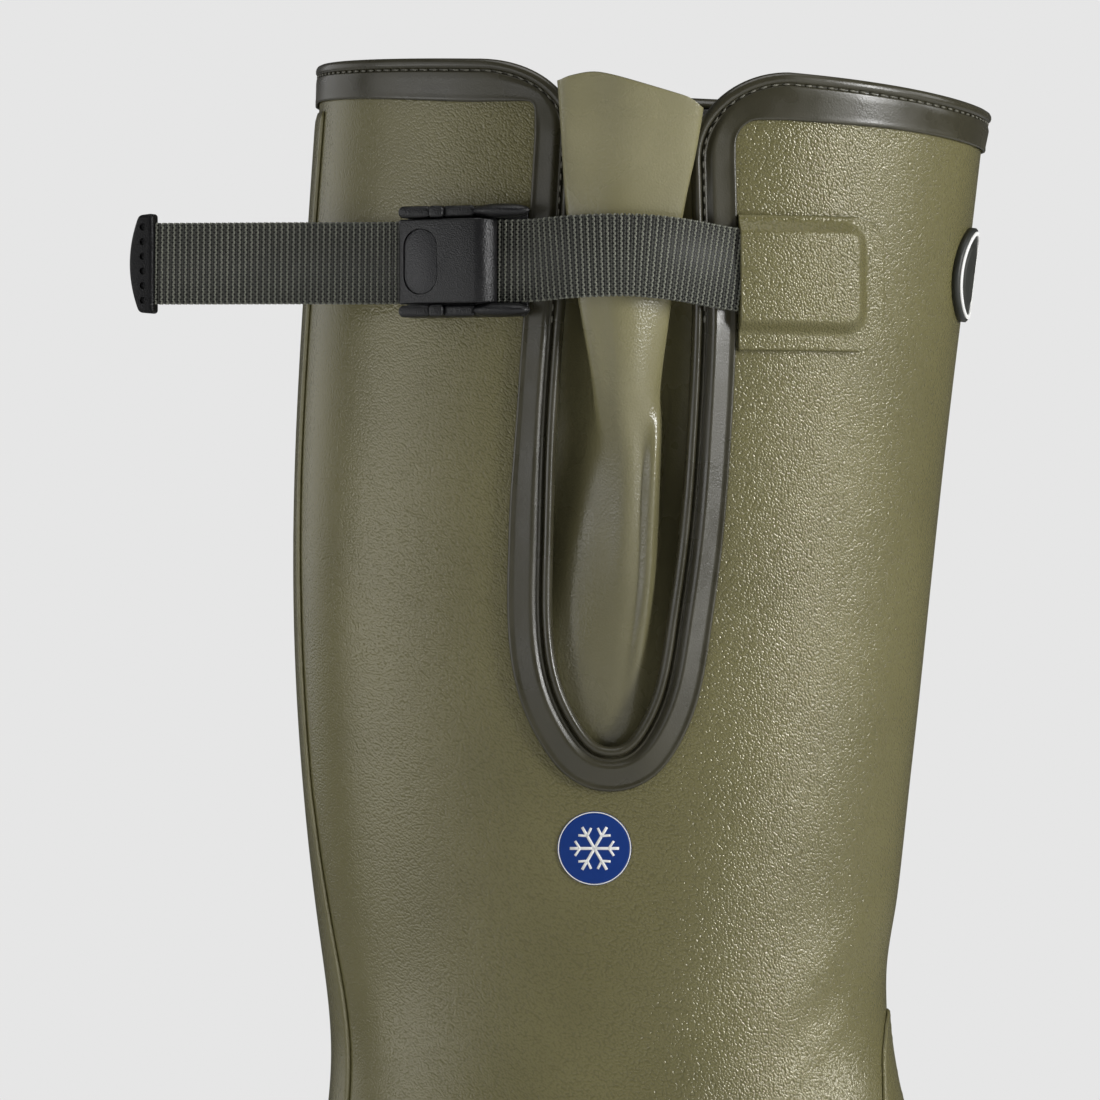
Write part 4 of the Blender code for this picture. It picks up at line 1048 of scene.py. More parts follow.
def grained_rubber(name, colour, depth):
    """Satin rubber with a pressed leather grain: small slanting pebbles, flatter to the rear, with painted
    shade in the creases between them that deepens to the front.
    """
    f = Finish(name, Specular_IOR_Level=0.62, Specular_Tint=(1.0, 0.96, 0.82))
    warp = f.node("ShaderNodeTexNoise", {}, {"Vector": f.mapped(1.6), "Scale": 1.0, "Detail": 2.0}, "Color")
    base = f.mapped(0.48, turn=(0.0, 45.0, 0.0), stretch=(1.35, 1.0, 1.0))
    bend = {0: warp, 1: (0.5, 0.5, 0.5), 2: base}
    bent = f.node("ShaderNodeVectorMath", {"operation": "MULTIPLY_ADD"}, bend)
    from_middle = f.cells(bent, smoothness=0.06)
    pebble = 1.0 - from_middle * from_middle * 1.6
    fine = f.noise(size=0.3)
    forward = f.coordinate("X").ease(*GRAIN_AND_CREASE_SHADE_DEEPEN)
    height = (pebble * 0.88 + fine * 0.12) * (0.55 + forward * 0.45)
    broad = f.noise(size=38.0, detail=3.0)
    middle = f.noise(size=6.0, detail=3.0)
    tint = f.mix(broad.ease(0.3, 0.7), shade(colour, 0.93), shade(colour, 1.07))
    # Painted shade: the creases between the pebbles are darkened, more strongly towards the front.
    painted_crease_shade = from_middle.ease(0.4, 0.8) * (0.08 + forward * 0.2)
    tint = f.mix(painted_crease_shade, tint, shade(colour, 0.4))
    f.set(Base_Color=tint)
    f.set(Roughness=0.12 + middle * 0.08)
    f.set(Normal=f.bump(height, depth))
    return f.material


def smooth_rubber(name, colour, roughness, depth):
    """Satin rubber with a fine even grain."""
    f = Finish(name, Specular_IOR_Level=0.6)
    fine = f.noise(size=0.45)
    broad = f.noise(size=14.0, detail=3.0)
    f.set(Base_Color=f.mix(broad.ease(0.3, 0.7), shade(colour, 0.9), shade(colour, 1.1)))
    f.set(Roughness=roughness + broad.ease(0.3, 0.7) * 0.16)
    f.set(Normal=f.bump(fine, depth))
    return f.material


def gusset_rubber(name, colour, painted_shade_share):
    """Soft satin rubber with painted shade on its lower, recessed part that fades out towards the top, and a
    fine sparkling grain.
    """
    f = Finish(name, Specular_IOR_Level=0.6)
    fine = f.cells(f.mapped(0.55), smoothness=0.2)
    broad = f.noise(size=16.0, detail=3.0)
    # Painted shade: the lower, recessed part of the gusset is darkened, fading out upwards.
    painted_shade_fade = f.coordinate("Z").ease(*GUSSET_SHADE_FADES)
    tint = f.mix(painted_shade_fade, shade(colour, painted_shade_share), colour)
    f.set(Base_Color=f.mix(broad.ease(0.3, 0.7) * 0.12, tint, shade(colour, 0.3)))
    f.set(Roughness=0.2 + broad.ease(0.3, 0.7) * 0.12)
    f.set(Normal=f.bump(fine, 0.045))
    return f.material


def woven_yarn(name, colour):
    """Dull twisted yarn."""
    f = Finish(name, Specular_IOR_Level=0.5, Sheen_Weight=0.1)
    strands = f.noise(size=0.16, stretch=(1.0, 1.0, 2.5))
    broad = f.noise(size=9.0)
    tint = f.mix(broad.ease(0.3, 0.7), shade(colour, 0.85), shade(colour, 1.15))
    f.set(Base_Color=f.mix(strands.ease(0.35, 0.65), shade(colour, 0.6), tint))
    f.set(Roughness=0.42 + strands * 0.2)
    f.set(Normal=f.bump(strands, 0.05))
    return f.material


def moulded_plastic(name, colour, gloss=0.5):
    """Black plastic with the fine sparkle of a spark-eroded mould."""
    f = Finish(name, Specular_IOR_Level=gloss)
    spark = f.cells(f.mapped(0.34)) * 0.7 + f.noise(size=0.3) * 0.3
    broad = f.noise(size=8.0)
    f.set(Base_Color=f.mix(broad, shade(colour, 0.85), shade(colour, 1.2)))
    f.set(Roughness=0.3 + broad * 0.1)
    f.set(Normal=f.bump(spark, 0.11))
    return f.material


def knit_lining(name, colour):
    """Thin knitted lining: rows of small loops."""
    f = Finish(name, Specular_IOR_Level=0.2, Sheen_Weight=0.2)
    loops = f.cells(f.mapped(1.1, stretch=(1.0, 1.0, 0.7)))
    f.set(Base_Color=f.mix(loops.ease(0.2, 0.7), shade(colour, 1.15), shade(colour, 0.6)))
    f.set(Roughness=0.9 + loops * 0.05)
    f.set(Normal=f.bump(1.0 - loops, 0.25))
    return f.material


def felt(name, colour):
    """Felted footbed with loose fibres."""
    f = Finish(name, Specular_IOR_Level=0.2, Sheen_Weight=0.25)
    fibres = f.noise(size=0.8, detail=4.0, roughness=0.7)
    f.set(Base_Color=f.mix(fibres.ease(0.3, 0.7), shade(colour, 0.7), shade(colour, 1.25)))
    f.set(Roughness=0.9 + fibres * 0.08)
    f.set(Normal=f.bump(fibres, 0.25))
    return f.material


def sole_rubber(name, colour):
    """Matt moulded rubber with a broad uneven tone."""
    f = Finish(name, Specular_IOR_Level=0.4)
    fine = f.noise(size=0.9, detail=3.0, roughness=0.6)
    broad = f.noise(size=17.0, detail=3.0)
    tint = f.mix(broad.ease(0.35, 0.7), shade(colour, 0.88), shade(colour, 1.18))
    f.set(Base_Color=tint)
    f.set(Roughness=0.62 + broad * 0.16)
    f.set(Normal=f.bump(fine, 0.12))
    return f.material


def printed_film(name, colour, roughness):
    """Smooth printed film."""
    f = Finish(name, Specular_IOR_Level=0.3)
    mottle = f.noise(size=2.0)
    f.set(Base_Color=f.mix(mottle, shade(colour, 0.92), shade(colour, 1.08)))
    f.set(Roughness=roughness + mottle * 0.08)
    return f.material


PANEL = grained_rubber("grained_olive_rubber", OLIVE, depth=0.085)
PATCH_PANEL = grained_rubber("grained_patch_rubber", shade(OLIVE, 1.04), depth=0.1)
TRIM = smooth_rubber("trim_rubber", OLIVE_TRIM, roughness=0.22, depth=0.03)
GUSSET = gusset_rubber("gusset_rubber", OLIVE_GUSSET, painted_shade_share=0.64)
BADGE = smooth_rubber("badge_rubber", BADGE_BLACK, roughness=0.42, depth=0.05)
WEBBING = woven_yarn("webbing_yarn", YARN)
# Painted shade: the strap's near-black core and the darker copy of its yarn for the sunk floats stand in for
# the shade between the floats.
WEBBING_CORE_SHADE = woven_yarn("webbing_core_painted_shade", PAINTED_SHADE_CORE)
WEBBING_SUNK_SHADE = woven_yarn("webbing_sunk_yarn_painted_shade", shade(YARN, 0.33))
THREAD = woven_yarn("stitching_thread", THREAD_OLIVE)
PLASTIC = moulded_plastic("black_plastic", BLACK)
TIP_PLASTIC = moulded_plastic("tip_plastic", BLACK, gloss=0.22)
INLAY = moulded_plastic("inlay_plastic", shade(BLACK, 3.2))
LINING = knit_lining("knit_lining", KNIT)
FOOTBED = felt("footbed_felt", FELT)
SOLE = sole_rubber("sole_rubber", SOLE_OLIVE)
STICKER = printed_film("sticker_blue", STICKER_BLUE, roughness=0.4)
PRINT = printed_film("white_print", WHITE, roughness=0.5)


# Pieces laid out by Geometry Nodes


def laying_tree():
    """Tree that lays one small oval bead on every point, along its run and facing out."""
    tree = bpy.data.node_groups.new("laid_beads", "GeometryNodeTree")
    face = tree.interface
    face.new_socket("Points", in_out="INPUT", socket_type="NodeSocketGeometry")
    for name in ("Length", "Width", "Height"):
        face.new_socket(name, in_out="INPUT", socket_type="NodeSocketFloat")
    face.new_socket("Finish", in_out="INPUT", socket_type="NodeSocketMaterial")
    face.new_socket("Beads", in_out="OUTPUT", socket_type="NodeSocketGeometry")

    def node(kind, settings, links):
        """Node of a kind, with its settings first and then the values or links of its sockets."""
        made = tree.nodes.new(kind)
        for name, value in settings.items():
            setattr(made, name, value)
        for name, source in links.items():
            if isinstance(source, bpy.types.NodeSocket):
                tree.links.new(source, made.inputs[name])
            else:
                made.inputs[name].default_value = source
        return made

    def attribute(name):
        """Direction that each point carries under a name."""
        kind = "GeometryNodeInputNamedAttribute"
        return node(kind, {"data_type": "FLOAT_VECTOR"}, {"Name": name}).outputs[0]

    given = node("NodeGroupInput", {}, {}).outputs
    align = "FunctionNodeAlignRotationToVector"
    along = {"Vector": attribute("run")}
    lie = node(align, {"axis": "Y"}, along).outputs[0]
    outward = {"Rotation": lie, "Vector": attribute("out")}
    turn = node(align, {"axis": "Z", "pivot_axis": "Y"}, outward).outputs[0]
    sizes = {"X": given["Width"], "Y": given["Length"], "Z": given["Height"]}
    size = node("ShaderNodeCombineXYZ", {}, sizes).outputs[0]
    bead = node("GeometryNodeMeshIcoSphere", {}, {"Radius": 0.5, "Subdivisions": 1}).outputs[0]
    placing = {"Points": given["Points"], "Instance": bead, "Rotation": turn, "Scale": size}
    laid = node("GeometryNodeInstanceOnPoints", {}, placing).outputs[0]
    real = node("GeometryNodeRealizeInstances", {}, {"Geometry": laid}).outputs[0]
    soft = node("GeometryNodeSetShadeSmooth", {}, {"Geometry": real}).outputs[0]
    finished = {"Geometry": soft, "Material": given["Finish"]}
    done = node("GeometryNodeSetMaterial", {}, finished).outputs[0]
    node("NodeGroupOutput", {}, {"Beads": done})
    return tree


LAYING_TREE = laying_tree()


def laid_beads(name, points, runs, outs, size, finish):
    """Mesh of small oval beads, each along its run and facing out."""
    mesh = new_mesh(name, points, [])
    for label, vectors in (("run", runs), ("out", outs)):
        values = mesh.attributes.new(label, "FLOAT_VECTOR", "POINT")
        values.data.foreach_set("vector", np.asarray(vectors, float).ravel())
    scratch = scratch_object(mesh)
    modifier = scratch.modifiers.new("beads", "NODES")
    modifier.node_group = LAYING_TREE
    items = LAYING_TREE.interface.items_tree
    sockets = {item.name: item.identifier for item in items if item.in_out == "INPUT"}
    for label, value in zip(("Length", "Width", "Height"), size):
        modifier[sockets[label]] = value * MM
    modifier[sockets["Finish"]] = finish
    return taken_from(scratch)


# Upper, lining and what lies on the skin


def sheet(columns, rows_per_section, out):
    """Grid of the outer face at a distance, from the sole edge to the collar."""
    rows = np.linspace(0.0, LAST_ROW, LAST_ROW * rows_per_section + 1)[:, None]
    across = np.linspace(-1.0, 1.0, columns + 1)[None, :]
    stretch = np.clip(rows - COLLAR_BLEND_ROW, 0.0, None) / (LAST_ROW - COLLAR_BLEND_ROW)
    line = np.minimum(rows, COLLAR_BLEND_ROW) + stretch * (collar_row(across) - COLLAR_BLEND_ROW)
    return creased_skin(across, line, np.full(line.shape, out))


def sheet_mesh(name, columns, rows_per_section, out):
    """Open mesh of the outer face at a distance, closed along its back seam and its toe."""
    grid = sheet(columns, rows_per_section, out)
    mesh = new_mesh(name, grid, grid_faces(*grid.shape[:2]))
    return face_outwards(mesh, merge=SEAM_MERGE)


def slot_prism(cut_back):
    """Prism through the outer wall only, wider than the panel's edge by a distance."""
    line = slot_line()
    along = unit(np.gradient(line, axis=0))
    line = line + cut_back * np.stack([along[:, 1], -along[:, 0]], axis=1)
    rear, front = line[0, 0], line[-1, 0]
    outline = [(rear - SLOT_CUT_PAST_CORNER, collar_z(rear) + SLOT_CUT_OVER_COLLAR)]
    outline += [tuple(p) for p in line]
    outline += [(front + SLOT_CUT_PAST_CORNER, collar_z(front) + SLOT_CUT_OVER_COLLAR)]
    return tube_mesh("slot_prism", [[(x, y, z) for x, z in outline] for y in SLOT_CUT_DEPTHS])


def wall(mesh, thickness, offset):
    """Sheet given a wall."""
    return worked(mesh, ("SOLIDIFY", {"thickness": thickness * MM, "offset": offset}))


def build_upper():
    """Rubber wall of the foot and shaft, with the slot cut in its outer side, and its bonded lining."""
    panel = wall(sheet_mesh("upper", UPPER_COLUMNS, ROWS_PER_SECTION, 0.0), RUBBER_WALL, -1.0)
    add_piece("upper", cut(panel, slot_prism(SLOT_CUT_BACK)), PANEL, "olive_rubber", "upper")
    inside = sheet_mesh("lining", LINING_COLUMNS, LINING_ROWS_PER_SECTION, -RUBBER_WALL - LINING_GAP)
    inside = wall(inside, LINING_THICKNESS, -1.0)
    add_piece("lining", cut(inside, slot_prism(SLOT_CUT_BACK)), LINING, "footbed")


def skin_tree():
    """Search tree of the creased outer face, for pieces that are laid on it."""
    grid = sheet(UPPER_COLUMNS, ROWS_PER_SECTION, 0.0)
    points = [Vector(p) for p in grid.reshape(-1, 3)]
    return BVHTree.FromPolygons(points, grid_faces(*grid.shape[:2]), epsilon=SKIN_TREE_GAP)


SKIN_TREE = skin_tree()


def laid_on(points, direction):
    """Points moved along a direction until they lie on the outer face, with its normals there."""
    direction = Vector(direction)
    places = []
    normals = []
    for point in np.asarray(points, float).reshape(-1, 3):
        hits = [SKIN_TREE.ray_cast(Vector(point) + Vector(aside), direction) for aside in RAYS_ASIDE]
        hits = [hit for hit in hits if hit[0] is not None]
        place, normal, _, _ = min(hits, key=lambda hit: hit[3])
        if normal.dot(direction) > 0:
            normal = -normal
        places.append(place)
        normals.append(normal)
    shape = np.shape(points)
    return np.array(places).reshape(shape), unit(np.array(normals).reshape(shape))


def overlay_mesh(name, grid, direction):
    """Closed overlay of a grid of points laid on the outer face, with rounded edges."""
    rows, columns = grid.shape[:2]
    place, normal = laid_on(grid, direction)
    i = np.minimum(np.arange(rows), np.arange(rows)[::-1])[:, None]
    j = np.minimum(np.arange(columns), np.arange(columns)[::-1])[None, :]
    rise = round_rise(np.minimum(i, j) / STRIP_EDGE_STEPS)
    proud = STRIP_PROUD * (STRIP_EDGE_FOOT + (1.0 - STRIP_EDGE_FOOT) * rise)
    top = place + normal * (OVERLAY_GAP + proud)[..., None]
    under = place + normal * OVERLAY_GAP
    count = rows * columns
    faces = grid_faces(rows, columns)
    faces += [tuple(count + k for k in face[::-1]) for face in grid_faces(rows, columns)]
    rim = list(range(columns))
    rim += [r * columns + columns - 1 for r in range(1, rows)]
    rim += [(rows - 1) * columns + k for k in range(columns - 2, -1, -1)]
    rim += [r * columns for r in range(rows - 2, 0, -1)]
    for a, b in zip(rim, rim[1:] + rim[:1]):
        faces.append((a, count + a, count + b, b))
    points = np.concatenate([top.reshape(-1, 3), under.reshape(-1, 3)])
    return face_outwards(new_mesh(name, points, faces))


def width_grid(widths, x, rows, columns):
    """Grid of points at one station, as wide at each height as a table of half widths says."""
    heights, halves = np.array(widths).T
    knots = np.concatenate([[0.0], np.cumsum(np.hypot(np.diff(heights), np.diff(halves)))])
    at = np.linspace(0.0, knots[-1], rows)
    z = np.interp(at, knots, heights)
    half = np.interp(at, knots, halves)
    share = np.linspace(-1.0, 1.0, columns)
    grid = np.empty((rows, columns, 3))
    grid[..., 0] = x
    grid[..., 1] = half[:, None] * share[None, :]
    grid[..., 2] = z[:, None]
    return grid


def build_overlays():
    """Strip down the back and guard over the instep."""
    for overlay in OVERLAYS:
        grid = width_grid(overlay.widths, overlay.ray_start, overlay.rows, overlay.columns)
        mesh = overlay_mesh(overlay.name, grid, overlay.ray)
        add_piece(overlay.name, mesh, PANEL, "olive_rubber", overlay.name)


def full_turn(count):
    """Angles evenly round a circle."""
    return np.linspace(0.0, 2.0 * math.pi, count, endpoint=False)


def heading(degrees):
    """Direction at an angle, seen from the side."""
    return np.array((math.cos(math.radians(degrees)), math.sin(math.radians(degrees))))


def side_disc(radius, out):
    """Points of the sticker's disc on the outer side, ring by ring from its middle."""
    reach = np.linspace(0.0, radius, STICKER_RINGS)[:, None]
    turn = full_turn(STICKER_SPOKES)[None, :]
    x = STICKER_CENTRE[0] + reach * np.cos(turn)
    z = STICKER_CENTRE[1] + reach * np.sin(turn)
    return on_side(x, z, np.broadcast_to(out, x.shape))


def print_section(first, second, level):
    """Section of a printed line between two points, seen from the side, up to a level."""
    low = [on_side(x, z, np.array(PRINT_FOOT)) for x, z in (first, second)]
    high = [on_side(x, z, np.array(level)) for x, z in (second, first)]
    return low + high


def crystal_bar(start, angle, size):
    """Flat bar of the crystal from a point, in the sticker's own directions."""
    length, width = size
    run = heading(angle)
    side = np.array((-run[1], run[0])) * width / 2
    rings = []
    for reach in np.linspace(0.0, length, BAR_STEPS):
        middle = np.array(STICKER_CENTRE) + start + reach * run
        rings.append(print_section(middle - side, middle + side, CRYSTAL_LEVEL))
    return tube_mesh("bar", rings)


def rim_ring():
    """Thin flat ring round the sticker."""
    inner, outer = (STICKER_RADIUS - inset for inset in RIM_INSETS)
    rings = []
    for turn in full_turn(STICKER_SPOKES):
        run = np.array((math.cos(turn), math.sin(turn)))
        near = np.array(STICKER_CENTRE) + inner * run
        far = np.array(STICKER_CENTRE) + outer * run
        rings.append(print_section(near, far, RIM_LEVEL))
    return tube_mesh("ring", rings, looped=True)


def build_sticker():
    """Round printed sticker low on the outer side, with a pale rim and a six-armed snow crystal."""
    face = side_disc(STICKER_RADIUS, STICKER_THICKNESS)
    foot = side_disc(STICKER_RADIUS + STICKER_FOOT_REACH, STICKER_FOOT_LEVEL)[::-1]
    points = np.concatenate([face, foot])
    mesh = new_mesh("sticker", points, grid_faces(len(points), STICKER_SPOKES, looped=True))
    mesh = face_outwards(mesh, merge=DISC_MERGE)
    add_piece("sticker", mesh, STICKER, "badge_rubber")
    shapes = []
    for arm in range(CRYSTAL_ARMS):
        turn = arm * 360.0 / CRYSTAL_ARMS
        shapes.append(crystal_bar(np.zeros(2), turn, CRYSTAL_ARM))
        fork = FORK_REACH * heading(turn)
        shapes.extend(crystal_bar(fork, turn + lean, CRYSTAL_FORK) for lean in (-FORK_LEAN, FORK_LEAN))
    shapes.append(rim_ring())
    add_piece("sticker_print", joined("sticker_print", shapes), PRINT, "badge_rubber")


def badge_rings(section):
    """Rings of points round the middle of the badge, each at a radius and a height over the outer face."""
    y, z = BADGE_CENTRE
    places, normals = laid_on(np.array([[BADGE_FIRST_RAY_X, y, z]]), (-1.0, 0.0, 0.0))
    normal = normals[0]
    across = unit(np.cross((0.0, 0.0, 1.0), normal))
    up = np.cross(normal, across)
    turn = full_turn(BADGE_SPOKES)[:, None]
    rings = []
    for radius, height in section:
        flat = places[0] + radius * (np.cos(turn) * across + np.sin(turn) * up)
        place, _ = laid_on(flat + BADGE_RAY_START * normal, -normal)
        rings.append(place + (OVERLAY_GAP + height) * normal)
    return np.array(rings)


def build_badge():
    """Round rubber badge on the shin with a raised rim and a printed ring."""
    rings = badge_rings(BADGE_SECTION)
    mesh = new_mesh("front_badge", rings, grid_faces(len(rings), BADGE_SPOKES, looped=True))
    add_piece("front_badge", face_outwards(mesh, merge=DISC_MERGE), BADGE, "badge_rubber", "front_badge")
    ring = tube_mesh("badge_ring", badge_rings(BADGE_RING_SECTION).transpose(1, 0, 2), looped=True)
    add_piece("badge_ring", ring, PRINT, "badge_rubber")


# Trim and gusset


def trim_path():
    """Edge of the panel round the collar and the slot, as a closed path of t and row."""
    line = slot_line()
    slot_t, slot_row = side_rows(line[:, 0], line[:, 1])
    rear_t = np.linspace(-1.0, slot_t[0], REAR_STEPS + 1)[:-1]
    front_t = np.linspace(slot_t[-1], 1.0, FRONT_STEPS + 2)[1:-1]
    t = np.concatenate([rear_t, slot_t, front_t])
    row = np.concatenate([collar_row(rear_t), slot_row, collar_row(front_t)])
    return t, row


def trim_directions():
    """Points of the trim's path, with the directions out of the panel, along it and beyond its edge."""
    t, row = trim_path()
    edge = skin(t, row)
    normal = skin_normal(t, row)
    along = unit(np.roll(edge, -1, axis=0) - np.roll(edge, 1, axis=0))
    return edge, normal, along, unit(np.cross(normal, along))


def corner_widths(corner, ends, radius):
    """Width of the band round a corner of the slot, from the collar down, to an inner edge of a radius."""
    turn = np.linspace(0.0, math.pi / 2, CORNER_STEPS)
    compass = np.stack([np.sin(turn), np.cos(turn)], axis=1)
    place = compass * corner
    inward = -unit(compass / corner)
    reach = np.linspace(0.0, BAND_SEARCH, BAND_SEARCH_STEPS)
    past = place[:, None] + reach[None, :, None] * inward[:, None] - (np.array(corner) - ends - radius)
    away = np.linalg.norm(np.maximum(past, 0.0), axis=-1) + np.minimum(past.max(axis=-1), 0.0) - radius
    return reach[np.argmax(away <= 0.0, axis=1)]


def narrowed(at, narrowing):
    """Share of the band's width that is left at each place of a narrowing."""
    return 1.0 - narrowing.share * smooth_step((at - narrowing.start) / (narrowing.end - narrowing.start))


def band_widths(edge, section):
    """Width of the trim's band at each point of its path."""
    width = -section[..., 1].min(axis=1)
    rear_side = (edge[:, 0] < SLOT_BOTTOM[0]) & (edge[:, 1] < 0.0)
    width *= narrowed(edge[:, 0], FRONT_NARROWING)
    width *= narrowed(edge[:, 0], BACK_NARROWING)
    width *= np.where(rear_side, narrowed(edge[:, 2], REAR_NARROWING), 1.0)
    rear = slice(REAR_STEPS, REAR_STEPS + CORNER_STEPS)
    front = slice(len(edge) - FRONT_STEPS - CORNER_STEPS, len(edge) - FRONT_STEPS)
    width[rear] = corner_widths(SLOT_REAR_CORNER, (width[rear][-1], width[rear][0]), REAR_INNER_CORNER)
    tight = corner_widths(SLOT_FRONT_CORNER, (width[front][0], width[front][-1]), FRONT_INNER_CORNER)
    width[front] = tight[::-1]
    return width


def trim_sections(edge):
    """Section of the binding at each point of its path."""
    low, high = COLLAR_REACH
    share = smooth_step((edge[:, 2] - low) / (high - low))[:, None, None]
    section = (1.0 - share) * np.array(SLOT_SECTION) + share * np.array(COLLAR_SECTION)
    narrow = band_widths(edge, section) / -section[..., 1].min(axis=1)
    out, beyond = section[..., 0], section[..., 1]
    lean_low, lean_high = BAND_LEAN_TOP
    lean = smooth_step((edge[:, 0] - SLOT_BOTTOM[0]) / BAND_LEAN_REACH)
    lean = lean * smooth_step((lean_high - edge[:, 2]) / (lean_high - lean_low))
    out = out + BAND_LEAN * lean[:, None] * np.interp(beyond, *BAND_LEAN_ACROSS)
    beyond = np.where(beyond < 0.0, beyond * narrow[:, None], beyond)
    return np.stack([out, beyond], axis=-1)


def build_trim():
    """Binding round the collar and down the slot."""
    edge, normal, _, beyond = trim_directions()
    section = trim_sections(edge)
    rings = edge[:, None] + section[..., :1] * normal[:, None] + section[..., 1:] * beyond[:, None]
    mesh = tube_mesh("collar_trim", rings, looped=True)
    add_piece("collar_trim", mesh, TRIM, "trim_rubber", "collar_trim")


def build_stitches():
    """Row of stitches along the binding, down to a height on the slot."""
    edge, normal, along, beyond = trim_directions()
    out, past = STITCH_LINE
    seam = edge + out * normal + past * beyond
    lengths = np.linalg.norm(np.roll(seam, -1, axis=0) - seam, axis=1)
    run = np.concatenate([[0.0], np.cumsum(lengths)])
    count = int(run[-1] / STITCH_PITCH)
    at = (np.arange(count) + 0.5) * run[-1] / count
    looped = [np.concatenate([values, values[:1]]) for values in (seam, along, normal)]
    laid = [np.stack([np.interp(at, run, v[:, k]) for k in range(3)], axis=1) for v in looped]
    sewn = laid[0][:, 2] > STITCHED_DOWN_TO
    places, runs, outs = (values[sewn] for values in laid)
    size = (STITCH_LENGTH, STITCH_WIDTH, STITCH_WIDTH)
    mesh = laid_beads("trim_stitches", places, runs, outs, size, THREAD)
    add_piece("trim_stitches", mesh, THREAD, "trim_rubber")


def gusset_grid():
    """Middle of the gusset's sheet: points across the slot at each height, folded outwards above."""
    heights = [SLOT_BOTTOM[1]] + [edge.z for edge in SLOT[::-1]]
    rear_edges = [SLOT_BOTTOM[0]] + [edge.rear for edge in SLOT[::-1]]
    front_edges = [SLOT_BOTTOM[0]] + [edge.front for edge in SLOT[::-1]]
    rows = []
    for fold in FOLDS:
        rear = min(np.interp(fold.z, heights, rear_edges), fold.points[0][0] - FOLD_MARGIN)
        front = max(np.interp(fold.z, heights, front_edges), fold.points[-1][0] + FOLD_MARGIN)
        recess = np.interp(fold.z, RECESS_HEIGHTS, (GUSSET_DEPTH, RECESS_DEPTH))
        rear_hem = [(GUSSET_MARGINS[0], GUSSET_DEPTH), (rear - RECESS_MARGIN, recess)]
        front_hem = [(front + RECESS_MARGIN, recess), (GUSSET_MARGINS[1], GUSSET_DEPTH)]
        rows.append(rear_hem + list(fold.points) + front_hem)
    rows = np.array(rows)
    across = np.linspace(0.0, rows.shape[1] - 1.0, GUSSET_ACROSS)
    up = np.linspace(0.0, rows.shape[0] - 1.0, GUSSET_UP)
    fine = np.array([[Track(row[:, k])(across) for k in (0, 1)] for row in rows])
    x = np.stack([Track(column)(up) for column in fine[:, 0].T], axis=1)
    out = np.stack([Track(column)(up) for column in fine[:, 1].T], axis=1)
    level = Track([fold.z for fold in FOLDS])(up)[:, None]
    hem = FOLDS[0].z
    past_corner = np.maximum(0.0, np.maximum(x - GUSSET_CORNERS[1], GUSSET_CORNERS[0] - x))
    from_peak = np.hypot(x - GUSSET_PEAK[0], GUSSET_PEAK_EASE) - GUSSET_PEAK_EASE
    top = GUSSET_PEAK[1] - GUSSET_TOP_SLOPE * from_peak - GUSSET_CORNER_FALL * past_corner**2
    z = hem + (level - hem) * (top - hem) / (GUSSET_TOP - hem)
    return on_side(x, z, out)


def build_gusset():
    """Soft bellows behind the slot, gathered into a fold that widens to its top."""
    grid = gusset_grid()
    mesh = new_mesh("side_gusset", grid, grid_faces(*grid.shape[:2]))
    mesh = wall(mesh, GUSSET_THICKNESS, 0.0)
    mesh = rounded(mesh, GUSSET_ROUNDING, segments=3, angle=60.0)
    add_piece("side_gusset", mesh, GUSSET, "gusset_rubber", "side_gusset")


# Strap, buckle, tip and patch


class BuckleFrame:
    """Directions at the buckle: along the strap to the front, up, and out from the boot."""

    def __init__(self):
        t, row = side_rows(*BUCKLE_CENTRE)
        self.origin = skin(t, row)
        self.out = skin_normal(t, row)
        vertical = np.array((0.0, 0.0, 1.0))
        self.up = unit(vertical - vertical.dot(self.out) * self.out)
        self.front = np.cross(self.up, self.out)

    def at(self, along, up, out):
        """Point at distances in the three directions."""
        return self.origin + along * self.front + up * self.up + out * self.out

    def block(self, name, outline, low, high, soft):
        """Block with an outline along the strap and up, between two distances out, with rounded edges."""
        rings = [[self.at(a, b, c) for a, b in outline] for c in (low, high)]
        return rounded(tube_mesh(name, rings), soft, segments=3)


BUCKLE = BuckleFrame()


def strap_line(count):
    """Centre line of the strap from patch to tip, with its directions along, up and out, and its length."""
    x, z, out = (np.array(values) for values in zip(*STRAP_ROUTE))
    over = on_side(x, z, out)
    lean = unit(on_side(x, z + STRAP_WIDTH / 2, out) - on_side(x, z - STRAP_WIDTH / 2, out))
    through = []
    for station in BUCKLE_STATIONS:
        rise = TAIL_RISE * max(0.0, TAIL_START - station)
        through.append(np.concatenate([BUCKLE.at(station, rise, STRAP_LEVEL), BUCKLE.up]))
    over = np.concatenate([over, lean], axis=1)
    route = smooth_line(np.concatenate([over, through]), STRAP_ROUTE_STEPS)
    lengths = np.linalg.norm(np.diff(route[:, :3], axis=0), axis=1)
    run = np.concatenate([[0.0], np.cumsum(lengths)])
    at = np.linspace(0.0, run[-1], count)
    even = np.stack([np.interp(at, run, column) for column in route.T], axis=1)
    line, up = even[:, :3], even[:, 3:]
    along = unit(np.gradient(line, axis=0))
    up = unit(up - np.sum(along * up, axis=1, keepdims=True) * along)
    return line, along, up, np.cross(along, up), run[-1]


